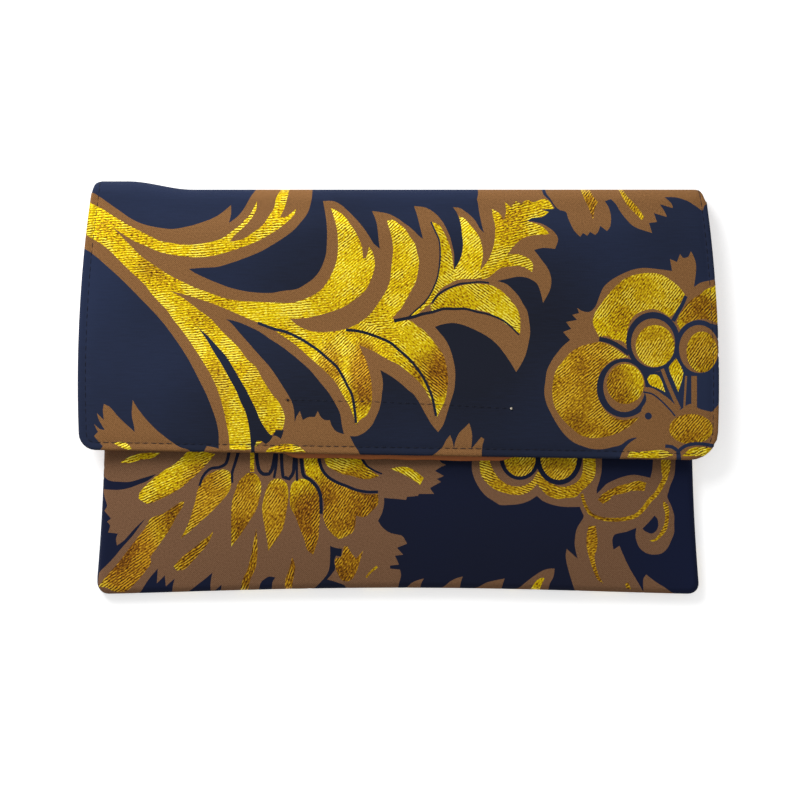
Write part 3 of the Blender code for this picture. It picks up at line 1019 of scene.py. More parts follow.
    def flat_points(self, lines: list[Array]) -> tuple[Array, int]:
        """The flat places that the cloth's form needs.

        Args:
            lines: The figure's outlines, which the places keep a little away from.

        Returns:
            The places, and how many of the first ones are the raw edge.
        """
        rings = [self.ring(distance) for distance in self.edge_distances()]
        low = min(ring[:, 1].min() for ring in rings)
        high = max(ring[:, 1].max() for ring in rings)
        reach = rings[0][:, 0].max()
        across = np.arange(-reach, reach, self.grid_step)
        along = np.arange(low, high, self.grid_step)
        grid = np.stack(np.meshgrid(across, along), axis=-1).reshape(-1, 2)
        distance, _, _ = self.inwards(grid[:, 0], grid[:, 1])
        inner = grid[distance > self.ring_depth + self.grid_step / 2]
        drawn = np.concatenate(lines)
        tree = KDTree(len(drawn))
        for index, (x, v) in enumerate(drawn):
            tree.insert((x, v, 0.0), index)
        tree.balance()
        clear = [tree.find((x, v, 0.0))[2] > self.outline_clearance for x, v in inner]
        return np.concatenate(rings + [inner[clear]]), len(rings[0])

    def build(self, name: str) -> Piece:
        """Triangulates the cut in the flat and lays it over the form.

        Args:
            name: The piece's name.

        Returns:
            The cloth as an open sheet with a thickness modifier.
        """
        lines = self.outline_lines()
        flat, edge_count = self.flat_points(lines)
        edges = [(index, (index + 1) % edge_count) for index in range(edge_count)]
        first = len(flat)
        for line in lines:
            edges += [(first + step, first + step + 1) for step in range(len(line) - 1)]
            first += len(line)
        scaled = [Vector((x, v)) for x, v in np.concatenate([flat, *lines]) / MILLIMETRE]
        found, _, faces, _, _, _ = delaunay_2d_cdt(scaled, edges, [], 0, self.merge_millimetres, False)
        places = np.array([tuple(corner) for corner in found]) * MILLIMETRE
        corners = np.array(faces)
        centres = places[corners].mean(axis=1)
        distance, _, _ = self.inwards(centres[:, 0], centres[:, 1])
        kept = corners[distance > self.edge_distances()[0]]
        points = self.place(places[:, 0], places[:, 1])
        piece = mesh_object(name, points, [tuple(int(c) for c in face) for face in kept])
        self.mark_yarns(piece, lay_flat(piece, places).reshape(-1, 3, 2))
        thicken(piece, self.thickness)
        return piece

    def mark_yarns(self, piece: Piece, corners: Array) -> None:
        """Records the yarn of every face, and the painted amber shade on the gold, as attributes that the
        finish reads.

        Args:
            piece: The cloth, all of whose faces are triangles.
            corners: The flat places of each face's three corners.
        """
        centres = corners.mean(axis=1)
        yarn, rib = self.figure.yarns(*self.figure_place(centres[:, 0], centres[:, 1]))
        every = corners.reshape(-1, 2)
        shares = np.ones((len(every), 4), dtype=np.float32)
        shares[:, 0] = np.repeat(yarn == Yarn.BRONZE.value, 3)
        shares[:, 1] = np.repeat(yarn == Yarn.GOLD.value, 3)
        # The blue share is painted shade: how far the gold is darkened to amber.
        shares[:, 2] = self.figure.amber_shade(*self.figure_place(every[:, 0], every[:, 1]))
        colours = piece.data.attributes.new("yarn", "FLOAT_COLOR", "CORNER")
        colours.data.foreach_set("color", shares.ravel())
        ribs = piece.data.attributes.new("rib", "FLOAT", "FACE")
        ribs.data.foreach_set("value", rib.astype(np.float32))


@dataclass(frozen=True)
class Ripple:
    """Slow waves across and along a laid cloth, in radians a metre, which bend each other a little."""

    across: float
    along: float
    bend: float
    bend_across: float
    sway: float = 0.0
    sway_along: float = 0.0
    phase: float = 0.0

    def rise(self, x: Array, y: Array) -> Array:
        """How far the cloth stands up at each place, from -1 to 1."""
        first = x * self.across + self.sway * np.sin(y * self.sway_along) + self.phase
        return np.sin(first) * np.cos(y * self.along + self.bend * np.sin(x * self.bend_across))


@dataclass(frozen=True)
class BackAndFlapCloth(Brocade):
    """The cut that is the back panel, the fold and the flap in one; v is y on the flap."""

    inner_rings: int = 5
    ripple: Ripple = Ripple(across=47, along=39, bend=0.8, bend_across=21, sway=1.3, sway_along=31)
    pucker_across: float = 610.0
    pucker_along: float = 540.0
    past_crest: float = 1.5
    repeat_points: int = 110
    stitch_inset: float = 0.0034
    stitch_dent: float = 0.00028
    stitch_dent_width: float = 0.0008
    ripple_height: float = 0.00022
    pucker_share: float = 0.35
    pucker_reach: float = 0.007
    repeat_half_width: float = 0.139

    def unrolled(self, x: Array, y: Array) -> Array:
        """The flat place of a point of the back panel."""
        return 2 * self.form.bend_start(x) + self.form.bend_length - y

    def crest(self, x: Array) -> Array:
        """The flat place of the fold's outermost edge."""
        return self.form.bend_start(x) + self.form.bend_length / 2

    def half_width(self, v: Array) -> Array:
        """Half the flap's width up to the fold, and half the body's beyond it."""
        middle = np.zeros_like(v)
        on_back = self.form.body_half_width(self.unrolled(middle, v))
        on_flap = self.form.flap_half_width(np.minimum(v, self.form.fold_y))
        return np.where(v < self.crest(middle), on_flap, on_back)

    def low_end(self, x: Array) -> Array:
        """The flap's hem."""
        return self.form.hem_line(x)

    def high_end(self, x: Array) -> Array:
        """The back panel's foot seam."""
        return self.unrolled(x, self.form.foot_line(x))

    def corner_radius(self, x: Array, high: Array) -> Array:
        """The hem's left and right corners and the foot's."""
        return np.where(high, self.form.body_corner_radius, self.form.hem_radius(x))

    def turning(self, x: Array, v: Array) -> tuple[Array, Array]:
        """A narrow hem on the flap, which opens into the body's seam over the fold."""
        share = np.clip((v - self.form.bend_start(x)) / self.form.bend_length, 0.0, 1.0)
        first = mix(HEM_TURNING.first, SEAM_TURNING.first, share)
        return first, mix(HEM_TURNING.second, SEAM_TURNING.second, share)

    def edge_distances(self) -> list[float]:
        """Rings for the hem's bends and for the seam's, which begins further in."""
        return HEM_TURNING.stations(self.ring_depth, self.inner_rings)

    def relief(self, x: Array, y: Array) -> Array:
        """How the flap leaves its even form: slow ripples, and puckers and a dent at the stitches."""
        distance, _, _ = self.inwards(x, y)
        nearness = (distance - self.stitch_inset) / self.stitch_dent_width
        dent = -self.stitch_dent * np.exp(-nearness * nearness)
        near_edge = np.exp(-((distance / self.pucker_reach) ** 2))
        pucker = np.sin(x * self.pucker_across + y * self.pucker_along) * near_edge
        return dent + self.ripple_height * (self.ripple.rise(x, y) + self.pucker_share * pucker)

    def figure_place(self, x: Array, v: Array) -> tuple[Array, Array]:
        """The flap's figure, which the fold and then the hem's level mirror down the back."""
        form, start = self.form, self.form.bend_start(x)
        crest, hem = self.crest(x), self.low_end(x)
        on_back = v > crest
        folded = np.where(on_back, 2 * crest - v, v)
        folded = np.where(on_back & (folded < hem), 2 * hem - folded, folded)
        angle = np.clip((folded - start) / form.bend_depth, 0.0, QUARTER_TURN)
        return x, np.minimum(folded, start) + form.bend_depth * np.sin(angle)

    def repeats(self, x: Array, y: Array) -> list[tuple[Array, Array, Array]]:
        """The outline on the flap, and its two mirrored repeats on the back."""
        form, start = self.form, self.form.bend_start(x)
        crest, hem = self.crest(x), self.low_end(x)
        rise = np.maximum((y - start) / form.bend_depth, 0.0)
        beyond = self.past_crest * np.maximum(rise - 1.0, 0.0)
        v = np.minimum(y, start) + form.bend_depth * (np.arcsin(np.minimum(rise, 1.0)) + beyond)
        on_flap = v <= crest
        below_fold = on_flap & (v >= hem)
        second, third = 2 * crest - v, v + 2 * (crest - hem)
        return [(x, v, on_flap), (x, second, below_fold), (x, third, below_fold)]

    def seam_lines(self) -> list[Array]:
        """The fold's crest, and the line on the back that is as far from it as the hem."""
        x = np.linspace(-self.repeat_half_width, self.repeat_half_width, self.repeat_points)
        crest = self.crest(x)
        return [np.stack([x, crest], axis=1), np.stack([x, 2 * crest - self.low_end(x)], axis=1)]

    def surface(self, x: Array, v: Array) -> tuple[Array, Array]:
        """The flap, the fold's half turn and the back panel."""
        form = self.form
        start = form.bend_start(x)
        angle = np.clip((v - start) / form.bend_depth, 0.0, math.pi)
        from_side = form.fold_width / 2 - np.abs(x)
        depth = form.bend_depth - rounding(from_side, form.fold_corner_radius)
        half_height = form.flap_height(x, start) / 2
        on_flap = form.flap_height(x, np.minimum(v, start))
        z = np.where(v < start, on_flap, half_height * (1 + np.cos(angle)))
        flap_y = np.minimum(v, start)
        back_y = np.minimum(start - (v - start - form.bend_length), start)
        y = np.where(v > start + form.bend_length, back_y, flap_y + depth * np.sin(angle))
        facing = np.stack([np.zeros_like(x), np.sin(angle), np.cos(angle)], axis=1)
        height = self.relief(x, flap_y) * ease((QUARTER_TURN - angle) / QUARTER_TURN)
        points = np.stack([x, y, z], axis=1)
        return points + facing * height[:, None], facing


@dataclass(frozen=True)
class FrontCloth(Brocade):
    """The front panel's cut; v is y."""

    inner_rings: int = 3
    ripple: Ripple = Ripple(across=52, along=44, bend=0.7, bend_across=33, phase=0.9)
    ripple_height: float = 0.00025
    mouth_corner_radius: float = 0.0015
    mouth_turn_start: float = 0.008
    mouth_turn_length: float = 0.006

    def half_width(self, v: Array) -> Array:
        """Half the body's width."""
        return self.form.body_half_width(v)

    def low_end(self, x: Array) -> Array:
        """The foot seam."""
        return self.form.foot_line(x)

    def high_end(self, x: Array) -> Array:
        """The mouth."""
        return np.full_like(x, self.form.mouth_y)

    def corner_radius(self, x: Array, high: Array) -> Array:
        """Rounded at the foot and nearly square at the mouth."""
        return np.where(high, self.mouth_corner_radius, self.form.body_corner_radius)

    def turning(self, x: Array, v: Array) -> tuple[Array, Array]:
        """The body's seam, and a narrow turn at the mouth."""
        at_mouth = ease((v - self.form.mouth_y + self.mouth_turn_start) / self.mouth_turn_length)
        first = mix(SEAM_TURNING.first, MOUTH_TURNING.first, at_mouth)
        return first, mix(SEAM_TURNING.second, MOUTH_TURNING.second, at_mouth)

    def edge_distances(self) -> list[float]:
        """Rings for the seam's bends."""
        return SEAM_TURNING.stations(self.ring_depth, self.inner_rings)

    def figure_place(self, x: Array, v: Array) -> tuple[Array, Array]:
        """The same place, because the front panel lies nearly flat."""
        return x, v

    def repeats(self, x: Array, y: Array) -> list[tuple[Array, Array, Array]]:
        """The outline as it is drawn."""
        return [(x, y, np.ones(len(x), dtype=bool))]

    def surface(self, x: Array, v: Array) -> tuple[Array, Array]:
        """The front panel's outer face, with its slow ripples."""
        z = self.form.front_height(x, v) + self.ripple_height * self.ripple.rise(x, v)
        upwards = np.tile(np.array([0.0, 0.0, 1.0]), (len(x), 1))
        return np.stack([x, v, z], axis=1), upwards


def laid_grid(
    name: str, shape: tuple[int, int], place: Placing, thickness: float, upwards: bool = True
) -> Piece:
    """A sheet of even rows and columns.

    Args:
        name: The piece's name.
        shape: How many faces lie across it and along it.
        place: Turns across, from -1 to 1, and share, from 0 to 1, into points.
        thickness: How thick the sheet is, on the side away from its faces.
        upwards: Whether the grid's faces look along the cross product of across and share.

    Returns:
        The open sheet with a thickness modifier.
    """
    columns, rows = shape
    across, share = np.meshgrid(np.linspace(-1, 1, columns + 1), np.linspace(0, 1, rows + 1))
    faces = []
    for row in range(rows):
        for column in range(columns):
            low = row * (columns + 1) + column
            high = low + columns + 1
            face = (low, low + 1, high + 1, high)
            faces.append(face if upwards else face[::-1])
    piece = mesh_object(name, place(across.ravel(), share.ravel()), faces)
    lay_flat(piece, np.stack([across.ravel(), share.ravel()], axis=1))
    thicken(piece, thickness)
    return piece


@dataclass(frozen=True)
class InnerLayers:
    """The lining and the interlinings between and inside the brocade walls."""

    form: BagForm
    cloth: BackAndFlapCloth
    interlining_depth: float = 0.0011
    interlining_thickness: float = 0.0008
    interlining_setback: float = 0.0050
    flap_interlining_setback: float = 0.0032
    fold_setback: float = 0.0010
    lining_depth: float = 0.00235
    lining_thickness: float = 0.00035
    lining_setback: float = 0.0008
    lining_round: float = 0.0010
    lining_peek: float = 0.0020
    lining_peek_ease: float = 0.010
    peek_waver: float = 0.00018
    waver_across: float = 260.0
    waver_bend: float = 90.0
    lining_faces: tuple[int, int] = (120, 140)
    front_lining_faces: tuple[int, int] = (100, 70)
    interlining_faces: tuple[int, int] = (60, 40)

    def lining_hem(self, x: Array) -> Array:
        """The flap lining's lower edge, set back except where it shows below the hem."""
        form = self.form
        beyond = np.abs(x) - form.tape_length / 2
        shown = 1 - ease(beyond / self.lining_peek_ease + 0.5)
        waver = self.peek_waver * np.sin(x * self.waver_across + np.sin(x * self.waver_bend))
        from_side = form.flap_half_width(form.hem_line(x)) - self.lining_setback - np.abs(x)
        rise = rounding(from_side, form.hem_radius(x)) + self.lining_setback * (1 - shown)
        return form.hem_line(x) - (self.lining_peek + waver) * shown + rise

    def build_flap_lining(self) -> Piece:
        """The satin cut that lines the back panel and faces the underside of the flap."""
        form, cloth = self.form, self.cloth

        def place(across: Array, share: Array) -> Array:
            """Places on the inner side of the back and flap cloth, rolled in at the seams."""
            x = across * form.flap_width / 2
            for _ in range(SETTLING_ROUNDS):
                high = cloth.unrolled(x, form.foot_line(x) + self.lining_depth)
                v = mix(self.lining_hem(x), high, share)
                over = np.clip((v - form.bend_start(x)) / form.bend_length, 0.0, 1.0)
                inset = mix(self.lining_setback, self.lining_depth, over)
                x = across * (cloth.half_width(v) - inset)
            points, facing = cloth.surface(x, v)
            from_seam = np.minimum(cloth.half_width(v) - inset - np.abs(x), high - v)
            roll = rounding(from_seam, self.lining_round) * over
            return points - facing * (self.lining_depth + roll)[:, None]

        return laid_grid("lining_back_and_flap", self.lining_faces, place, self.lining_thickness)

    def build_front_lining(self) -> Piece:
        """The satin that lines the front panel."""
        form = self.form

        def place(across: Array, share: Array) -> Array:
            """Places under the front panel, rolled in at the seams."""
            low = form.foot_line(across * form.body_width / 2) + self.lining_depth
            y = mix(low, form.mouth_y - self.lining_setback, share)
            half_width = form.body_half_width(y) - self.lining_depth
            x = across * half_width
            roll = rounding(np.minimum(half_width - np.abs(x), y - low), self.lining_round)
            return np.stack([x, y, form.front_height(x, y) - self.lining_depth - roll], axis=1)

        return laid_grid("lining_front", self.front_lining_faces, place, self.lining_thickness)

    def build_interlinings(self) -> list[Piece]:
        """The three stiff panels, cut short of every seam and fold."""
        form, depth, setback = self.form, self.interlining_depth, self.interlining_setback

        def back(across: Array, share: Array) -> Array:
            """Places on the back panel's inner side."""
            low = form.foot_line(across * form.body_width / 2) + setback
            y = mix(low, form.bend_start(across * form.fold_width / 2) - self.fold_setback, share)
            x = across * (form.body_half_width(y) - setback)
            return np.stack([x, y, np.full_like(x, depth)], axis=1)

        def front(across: Array, share: Array) -> Array:
            """Places under the front panel."""
            low = form.foot_line(across * form.body_width / 2) + setback
            y = mix(low, form.mouth_y - setback, share)
            x = across * (form.body_half_width(y) - setback)
            return np.stack([x, y, form.front_height(x, y) - depth], axis=1)

        def flap(across: Array, share: Array) -> Array:
            """Places under the flap."""
            inset = self.flap_interlining_setback
            from_side = (1 - np.abs(across)) * form.flap_width / 2
            low = form.hem_line(across * form.flap_width / 2) + inset
            low = low + rounding(from_side, form.hem_radius(across) - inset)
            y = mix(low, form.bend_start(across * form.fold_width / 2) - self.fold_setback, share)
            x = across * (form.flap_half_width(y) - inset)
            return np.stack([x, y, form.flap_height(x, y) - depth], axis=1)

        shape, thickness = self.interlining_faces, self.interlining_thickness
        return [
            laid_grid(f"interlining_{name}", shape, place, thickness, upwards)
            for name, place, upwards in (("back", back, False), ("front", front, True), ("flap", flap, True))
        ]


def tone(colour: Colour) -> tuple[float, float, float, float]:
    """A colour of 0 to 255 a channel, as a shader takes it."""
    shares = [part / 255 for part in colour]
    linear = [part / 12.92 if part <= 0.04045 else ((part + 0.055) / 1.055) ** 2.4 for part in shares]
    return (linear[0], linear[1], linear[2], 1.0)


@dataclass(frozen=True)
class Signal:
    """A value that comes out of a node, for use in sums."""

    board: NodeBoard
    socket: Socket

    def __add__(self, other: Signal | float) -> Signal:
        """Both together."""
        return self.board.math("ADD", self, other)

    def __sub__(self, other: Signal | float) -> Signal:
        """This less the other."""
        return self.board.math("SUBTRACT", self, other)

    def __rsub__(self, other: float) -> Signal:
        """The other less this."""
        return self.board.math("SUBTRACT", other, self)

    def __mul__(self, other: Signal | float) -> Signal:
        """This times the other."""
        return self.board.math("MULTIPLY", self, other)

    def __truediv__(self, other: float) -> Signal:
        """This divided by the other."""
        return self.board.math("DIVIDE", self, other)

    def held(self, low: float, high: float) -> Signal:
        """This, but at least low and at most high."""
        return self.board.math("MINIMUM", self.board.math("MAXIMUM", self, low), high)


class NodeBoard:
    """A tree of nodes under construction."""

    def __init__(self, tree: bpy.types.NodeTree) -> None:
        """Keeps the tree that the nodes go into."""
        self.tree = tree

    def feed(self, node: bpy.types.Node, name: str | int, value: object) -> None:
        """Gives an input of a node the signal that feeds it, or its value."""
        if isinstance(value, Signal):
            self.tree.links.new(value.socket, node.inputs[name])
        else:
            node.inputs[name].default_value = value

    def add(
        self, kind: str, inputs: dict[str | int, object] | None = None, **settings: object
    ) -> bpy.types.Node:
        """Adds a node.

        Args:
            kind: The node's type.
            inputs: For each input, the signal that feeds it or its value.
            settings: The node's own properties.

        Returns:
            The new node.
        """
        node = self.tree.nodes.new(kind)
        for name, value in settings.items():
            setattr(node, name, value)
        for name, value in (inputs or {}).items():
            self.feed(node, name, value)
        return node

    def out(
        self,
        kind: str,
        inputs: dict[str | int, object] | None = None,
        output: str | int = 0,
        **settings: object,
    ) -> Signal:
        """One output of a new node, which is added as the method add does."""
        return Signal(self, self.add(kind, inputs, **settings).outputs[output])

    def signals(self, node: bpy.types.Node) -> dict[str, Signal]:
        """All outputs of a node, by name."""
        return {socket.name: Signal(self, socket) for socket in node.outputs}

    def math(self, operation: str, first: Signal | float, second: Signal | float = 0.0) -> Signal:
        """The result of a sum on one or two numbers."""
        return self.out("ShaderNodeMath", {0: first, 1: second}, operation=operation)

    def vector(self, x: Signal | float, y: Signal | float, z: Signal | float = 0.0) -> Signal:
        """A vector from its three parts."""
        return self.out("ShaderNodeCombineXYZ", {0: x, 1: y, 2: z})

    def blend(self, share: Signal, first: Signal | tuple, second: Signal | tuple) -> Signal:
        """A colour between two, by a share."""
        inputs = {0: share, 6: first, 7: second}
        return self.out("ShaderNodeMix", inputs, output=2, data_type="RGBA")

    def ramp(self, value: Signal, stops: Scale) -> Signal:
        """The colour that a value has on a scale of colours."""
        node = self.add("ShaderNodeValToRGB", {0: value})
        elements = node.color_ramp.elements
        for element, (place, colour) in zip(elements, (stops[0], stops[-1])):
            element.position, element.color = place, tone(colour)
        for place, colour in stops[1:-1]:
            elements.new(place).color = tone(colour)
        return Signal(self, node.outputs[0])

    def noise(
        self, places: Signal, scale: float, detail: float = 2.0, roughness: float = 0.55
    ) -> Signal:
        """Smooth random values about 0.5."""
        inputs = {"Vector": places, "Scale": scale, "Detail": detail, "Roughness": roughness}
        return self.out("ShaderNodeTexNoise", inputs)

    def scaled(self, places: Signal, x: float, y: float, z: float = 1.0) -> Signal:
        """Places drawn out by a factor each way."""
        return self.out("ShaderNodeVectorMath", {0: places, 1: (x, y, z)}, operation="MULTIPLY")

    def wave(self, along: Signal, pitch: float) -> Signal:
        """A value that swings from -1 to 1 once in every pitch."""
        return self.math("SINE", along * (math.tau / pitch))

    def raise_up(self, shader: bpy.types.Node, height: Signal, strength: float) -> None:
        """Lets a shader's surface stand up by a tenth of a millimetre where height is 1."""
        inputs = {"Strength": strength, "Distance": 0.1 * MILLIMETRE, "Height": height}
        self.feed(shader, "Normal", self.out("ShaderNodeBump", inputs))


@dataclass(frozen=True)
class Chance:
    """Smooth random values, measured from a middle value and drawn out to a strength."""

    scale: float
    detail: float
    middle: float
    strength: float

    def over(self, board: NodeBoard, places: Signal) -> Signal:
        """The values at places."""
        return (board.noise(places, self.scale, self.detail) - self.middle) * self.strength


@dataclass(frozen=True)
class Finish:
    """A cloth's or a thread's finish: its colour and how it takes the light."""

    name: str
    colour: Colour
    roughness: float = 0.85
    specular: float = 0.2

    def start(self) -> tuple[Material, NodeBoard, bpy.types.Node]:
        """A new material, its board and its shader."""
        material = bpy.data.materials.new(self.name)
        material.use_nodes = True
        shader = material.node_tree.nodes["Principled BSDF"]
        shader.inputs["Base Color"].default_value = tone(self.colour)
        shader.inputs["Roughness"].default_value = self.roughness
        shader.inputs["Specular IOR Level"].default_value = self.specular
        return material, NodeBoard(material.node_tree), shader

    def build(self) -> Material:
        """The finish in one even colour."""
        return self.start()[0]


@dataclass(frozen=True)
class BrocadeFinish(Finish):
    """Navy plain weave with bronze twill and ribbed gold, each where the yarn attribute says, with a painted
    sheen on the navy and painted amber shade on the gold.

    Places, pitches and reaches are in millimetres of the cloth's own flat places.
    """

    charcoal: Colour = (27, 30, 42)
    bronze: Colour = (150, 107, 66)
    bronze_shade: Colour = (104, 71, 40)
    gold: Scale = (
        (0.0, (84, 50, 8)),
        (0.2, (146, 98, 8)),
        (0.4, (200, 158, 8)),
        (0.58, (216, 188, 10)),
        (0.8, (233, 204, 12)),
        (1.0, (254, 240, 92)),
    )
    # The gold's colours under painted shade, darkened to amber.
    amber_shade: Scale = (
        (0.0, (62, 36, 12)),
        (0.3, (104, 60, 14)),
        (0.6, (150, 96, 18)),
        (1.0, (216, 164, 32)),
    )
    ground_pitch: float = 0.42
    twill_pitch: float = 1.0
    rib_pitch: float = 1.15
    gold_roughness: float = 0.42
    gold_metallic: float = 0.35
    # Reach, place and strength of the sheen painted on the navy towards the sides and the fold, in
    # millimetres.
    sheen_side_reach: float = 150.0
    sheen_fold_place: float = 97.0
    sheen_fold_reach: float = 55.0
    painted_sheen_strength: float = 0.9
    hue: Chance = Chance(scale=0.011, detail=1.0, middle=0.46, strength=1.6)
    slub: Chance = Chance(scale=1.0, detail=2.0, middle=0.5, strength=0.5)
    slub_shape: tuple[float, float] = (0.12, 1.6)
    grain_scale: float = 1.3
    slant_waver: float = 0.9
    twill_contrast: float = 0.26
    fleck: Chance = Chance(scale=2.2, detail=0.0, middle=0.5, strength=0.8)
    rib_wobble: float = 1.3
    rib_wobble_scale: float = 0.25
    ribbed: Chance = Chance(scale=0.09, detail=1.0, middle=0.42, strength=5.0)
    least_ribbed: float = 0.15
    rib_contrast: float = 0.52
    glint: Chance = Chance(scale=1.0, detail=1.0, middle=0.5, strength=1.9)
    glint_shape: tuple[float, float] = (0.75, 1.5)
    broad: Chance = Chance(scale=0.045, detail=2.0, middle=0.5, strength=1.1)
    even_glow: float = 0.55
    # How much the painted amber shade dims the bright gold.
    amber_shade_dulling: float = 0.12
    ground_height: float = 0.2
    twill_height: float = 0.4
    rib_height: float = 1.0
    relief: float = 0.5

    def build(self) -> Material:
        """The whole finish."""
        material, board, shader = self.start()
        flat = board.out("ShaderNodeUVMap", uv_map="cloth")
        places = board.scaled(flat, 1 / MILLIMETRE, 1 / MILLIMETRE)
        split = board.signals(board.add("ShaderNodeSeparateXYZ", {0: places}))
        x, v = split["X"], split["Y"]
        yarn = board.out("ShaderNodeAttribute", output="Color", attribute_name="yarn")
        shares = board.signals(board.add("ShaderNodeSeparateColor", {0: yarn}))
        bronze, gold, amber_shade = shares["Red"], shares["Green"], shares["Blue"]

        ground = self.ground_colour(board, places, x, v)
        twill, bronze_colour = self.bronze_colour(board, places, x, v)
        rib, glow = self.gold_glow(board, places, x, v)
        # Painted shade: the gold is dimmed and turned amber by the yarn attribute's blue share.
        bright = board.ramp(glow - amber_shade * self.amber_shade_dulling, self.gold)
        gold_colour = board.blend(amber_shade, bright, board.ramp(glow, self.amber_shade))
        figure = board.blend(gold, bronze_colour, gold_colour)
        colour = board.blend(board.math("MAXIMUM", bronze, gold), ground, figure)
        board.feed(shader, "Base Color", colour)
        board.feed(shader, "Metallic", gold * self.gold_metallic)
        gloss = gold * (self.gold_roughness - self.roughness) + self.roughness
        board.feed(shader, "Roughness", gloss)

        plain = board.wave(x, self.ground_pitch) * board.wave(v, self.ground_pitch)
        height = plain * self.ground_height + twill * bronze * self.twill_height
        board.raise_up(shader, height + rib * gold * self.rib_height, self.relief)
        return material

    def ground_colour(self, board: NodeBoard, places: Signal, x: Signal, v: Signal) -> Signal:
        """The plain weave: charcoal in the middle, and lighter and bluer towards the sides and the fold, a
        painted sheen, with random changes of tone over it.

        Args:
            board: The material's nodes.
            places: The cloth's flat places in millimetres.
            x: Their x.
            v: Their v.

        Returns:
            The weave's colour.
        """
        # Painted sheen: the navy is drawn lighter and bluer towards the sides and the fold, where the cloth
        # took more light.
        side = board.math("POWER", x / self.sheen_side_reach, 2.0)
        fold_sheen = 1.0 - board.math("ABSOLUTE", v - self.sheen_fold_place) / self.sheen_fold_reach
        sheen_and_hue = board.math("MAXIMUM", side, fold_sheen) * self.painted_sheen_strength
        sheen_and_hue = sheen_and_hue + self.hue.over(board, places)
        sheen_and_hue = sheen_and_hue + self.slub.over(board, board.scaled(places, *self.slub_shape))
        return board.blend(sheen_and_hue.held(0.0, 1.0), tone(self.charcoal), tone(self.colour))

    def bronze_colour(
        self, board: NodeBoard, places: Signal, x: Signal, v: Signal
    ) -> tuple[Signal, Signal]:
        """The bronze yarn's twill.

        Args:
            board: The material's nodes.
            places: The cloth's flat places in millimetres.
            x: Their x.
            v: Their v.

        Returns:
            The twill's own height, and its colour.
        """
        grain = board.noise(board.scaled(places, self.grain_scale, self.grain_scale), 1.0)
        twill = board.wave(x + v + grain * self.slant_waver, self.twill_pitch)
        share = twill * self.twill_contrast + grain + self.fleck.over(board, places)
        return twill, board.blend(share, tone(self.bronze_shade), tone(self.bronze))

    def gold_glow(
        self, board: NodeBoard, places: Signal, x: Signal, v: Signal
    ) -> tuple[Signal, Signal]:
        """How brightly each place of the gold yarn shines.

        Args:
            board: The material's nodes.
            places: The cloth's flat places in millimetres.
            x: Their x.
            v: Their v.

        Returns:
            The ribs' own height, and the shine from 0 to 1.
        """
        angle = board.out("ShaderNodeAttribute", output="Fac", attribute_name="rib")
        sine, cosine = board.math("SINE", angle), board.math("COSINE", angle)
        across, along = v * cosine - x * sine, x * cosine + v * sine
        wobble = board.noise(places, self.rib_wobble_scale) * self.rib_wobble
        rib = board.wave(across + wobble, self.rib_pitch)
        ribbed = self.ribbed.over(board, places).held(self.least_ribbed, 1.0)
        long, wide = self.glint_shape
        glint = self.glint.over(board, board.vector(along * long, across * wide))
        glow = glint + self.broad.over(board, places) + self.even_glow
        return rib, glow + rib * ribbed * self.rib_contrast


@dataclass(frozen=True)
class FibreFinish(Finish):
    """Two shades by the fibres' own pattern of chance, which also stands up a little."""

    shade: Colour = (196, 194, 186)
    fibre_shape: tuple[float, float, float] = (1.0, 1.0, 1.0)
    fibre_scale: float = 1500.0
    fibre_detail: float = 3.0
    relief: float = 0.4

    def build(self) -> Material:
        """The finish, in metres of the bag's own places."""
        material, board, shader = self.start()
        places = board.out("ShaderNodeTexCoord", output="Object")
        fibre = board.noise(
            board.scaled(places, *self.fibre_shape), self.fibre_scale, self.fibre_detail
        )
        board.feed(shader, "Base Color", board.blend(fibre, tone(self.shade), tone(self.colour)))
        board.raise_up(shader, fibre, self.relief)
        return material


FLAP_BROCADE = BrocadeFinish("brocade", (36, 45, 70), specular=0.1)
# The flap's brocade again in darker colours: painted shade for the front panel, which takes less light under
# the flap.
FRONT_BROCADE_PAINTED_SHADE = BrocadeFinish(
    "brocade_front_panel_painted_shade",
    (20, 27, 53),
    specular=0.1,
    charcoal=(22, 26, 44),
    bronze=(134, 99, 73),
    bronze_shade=(98, 69, 47),
)
LINING_SATIN = FibreFinish(
    "lining_satin",
    (178, 98, 38),
    roughness=0.4,
    specular=0.3,
    shade=(120, 66, 28),
    fibre_shape=(60.0, 2400.0, 2400.0),
    fibre_scale=1.0,
    fibre_detail=2.0,
    relief=0.3,
)
INTERLINING = FibreFinish("interlining", (224, 222, 214), roughness=0.95)
TAPE = FibreFinish("closure_tape", (30, 34, 52), shade=(18, 20, 32), roughness=0.9)
TAPE_THREAD = Finish("tape_thread", (34, 38, 58), roughness=0.6)
DARK_THREAD = Finish("dark_thread", (20, 22, 36), roughness=0.6)
PALE_THREAD = Finish("pale_thread", (206, 196, 176), roughness=0.6)


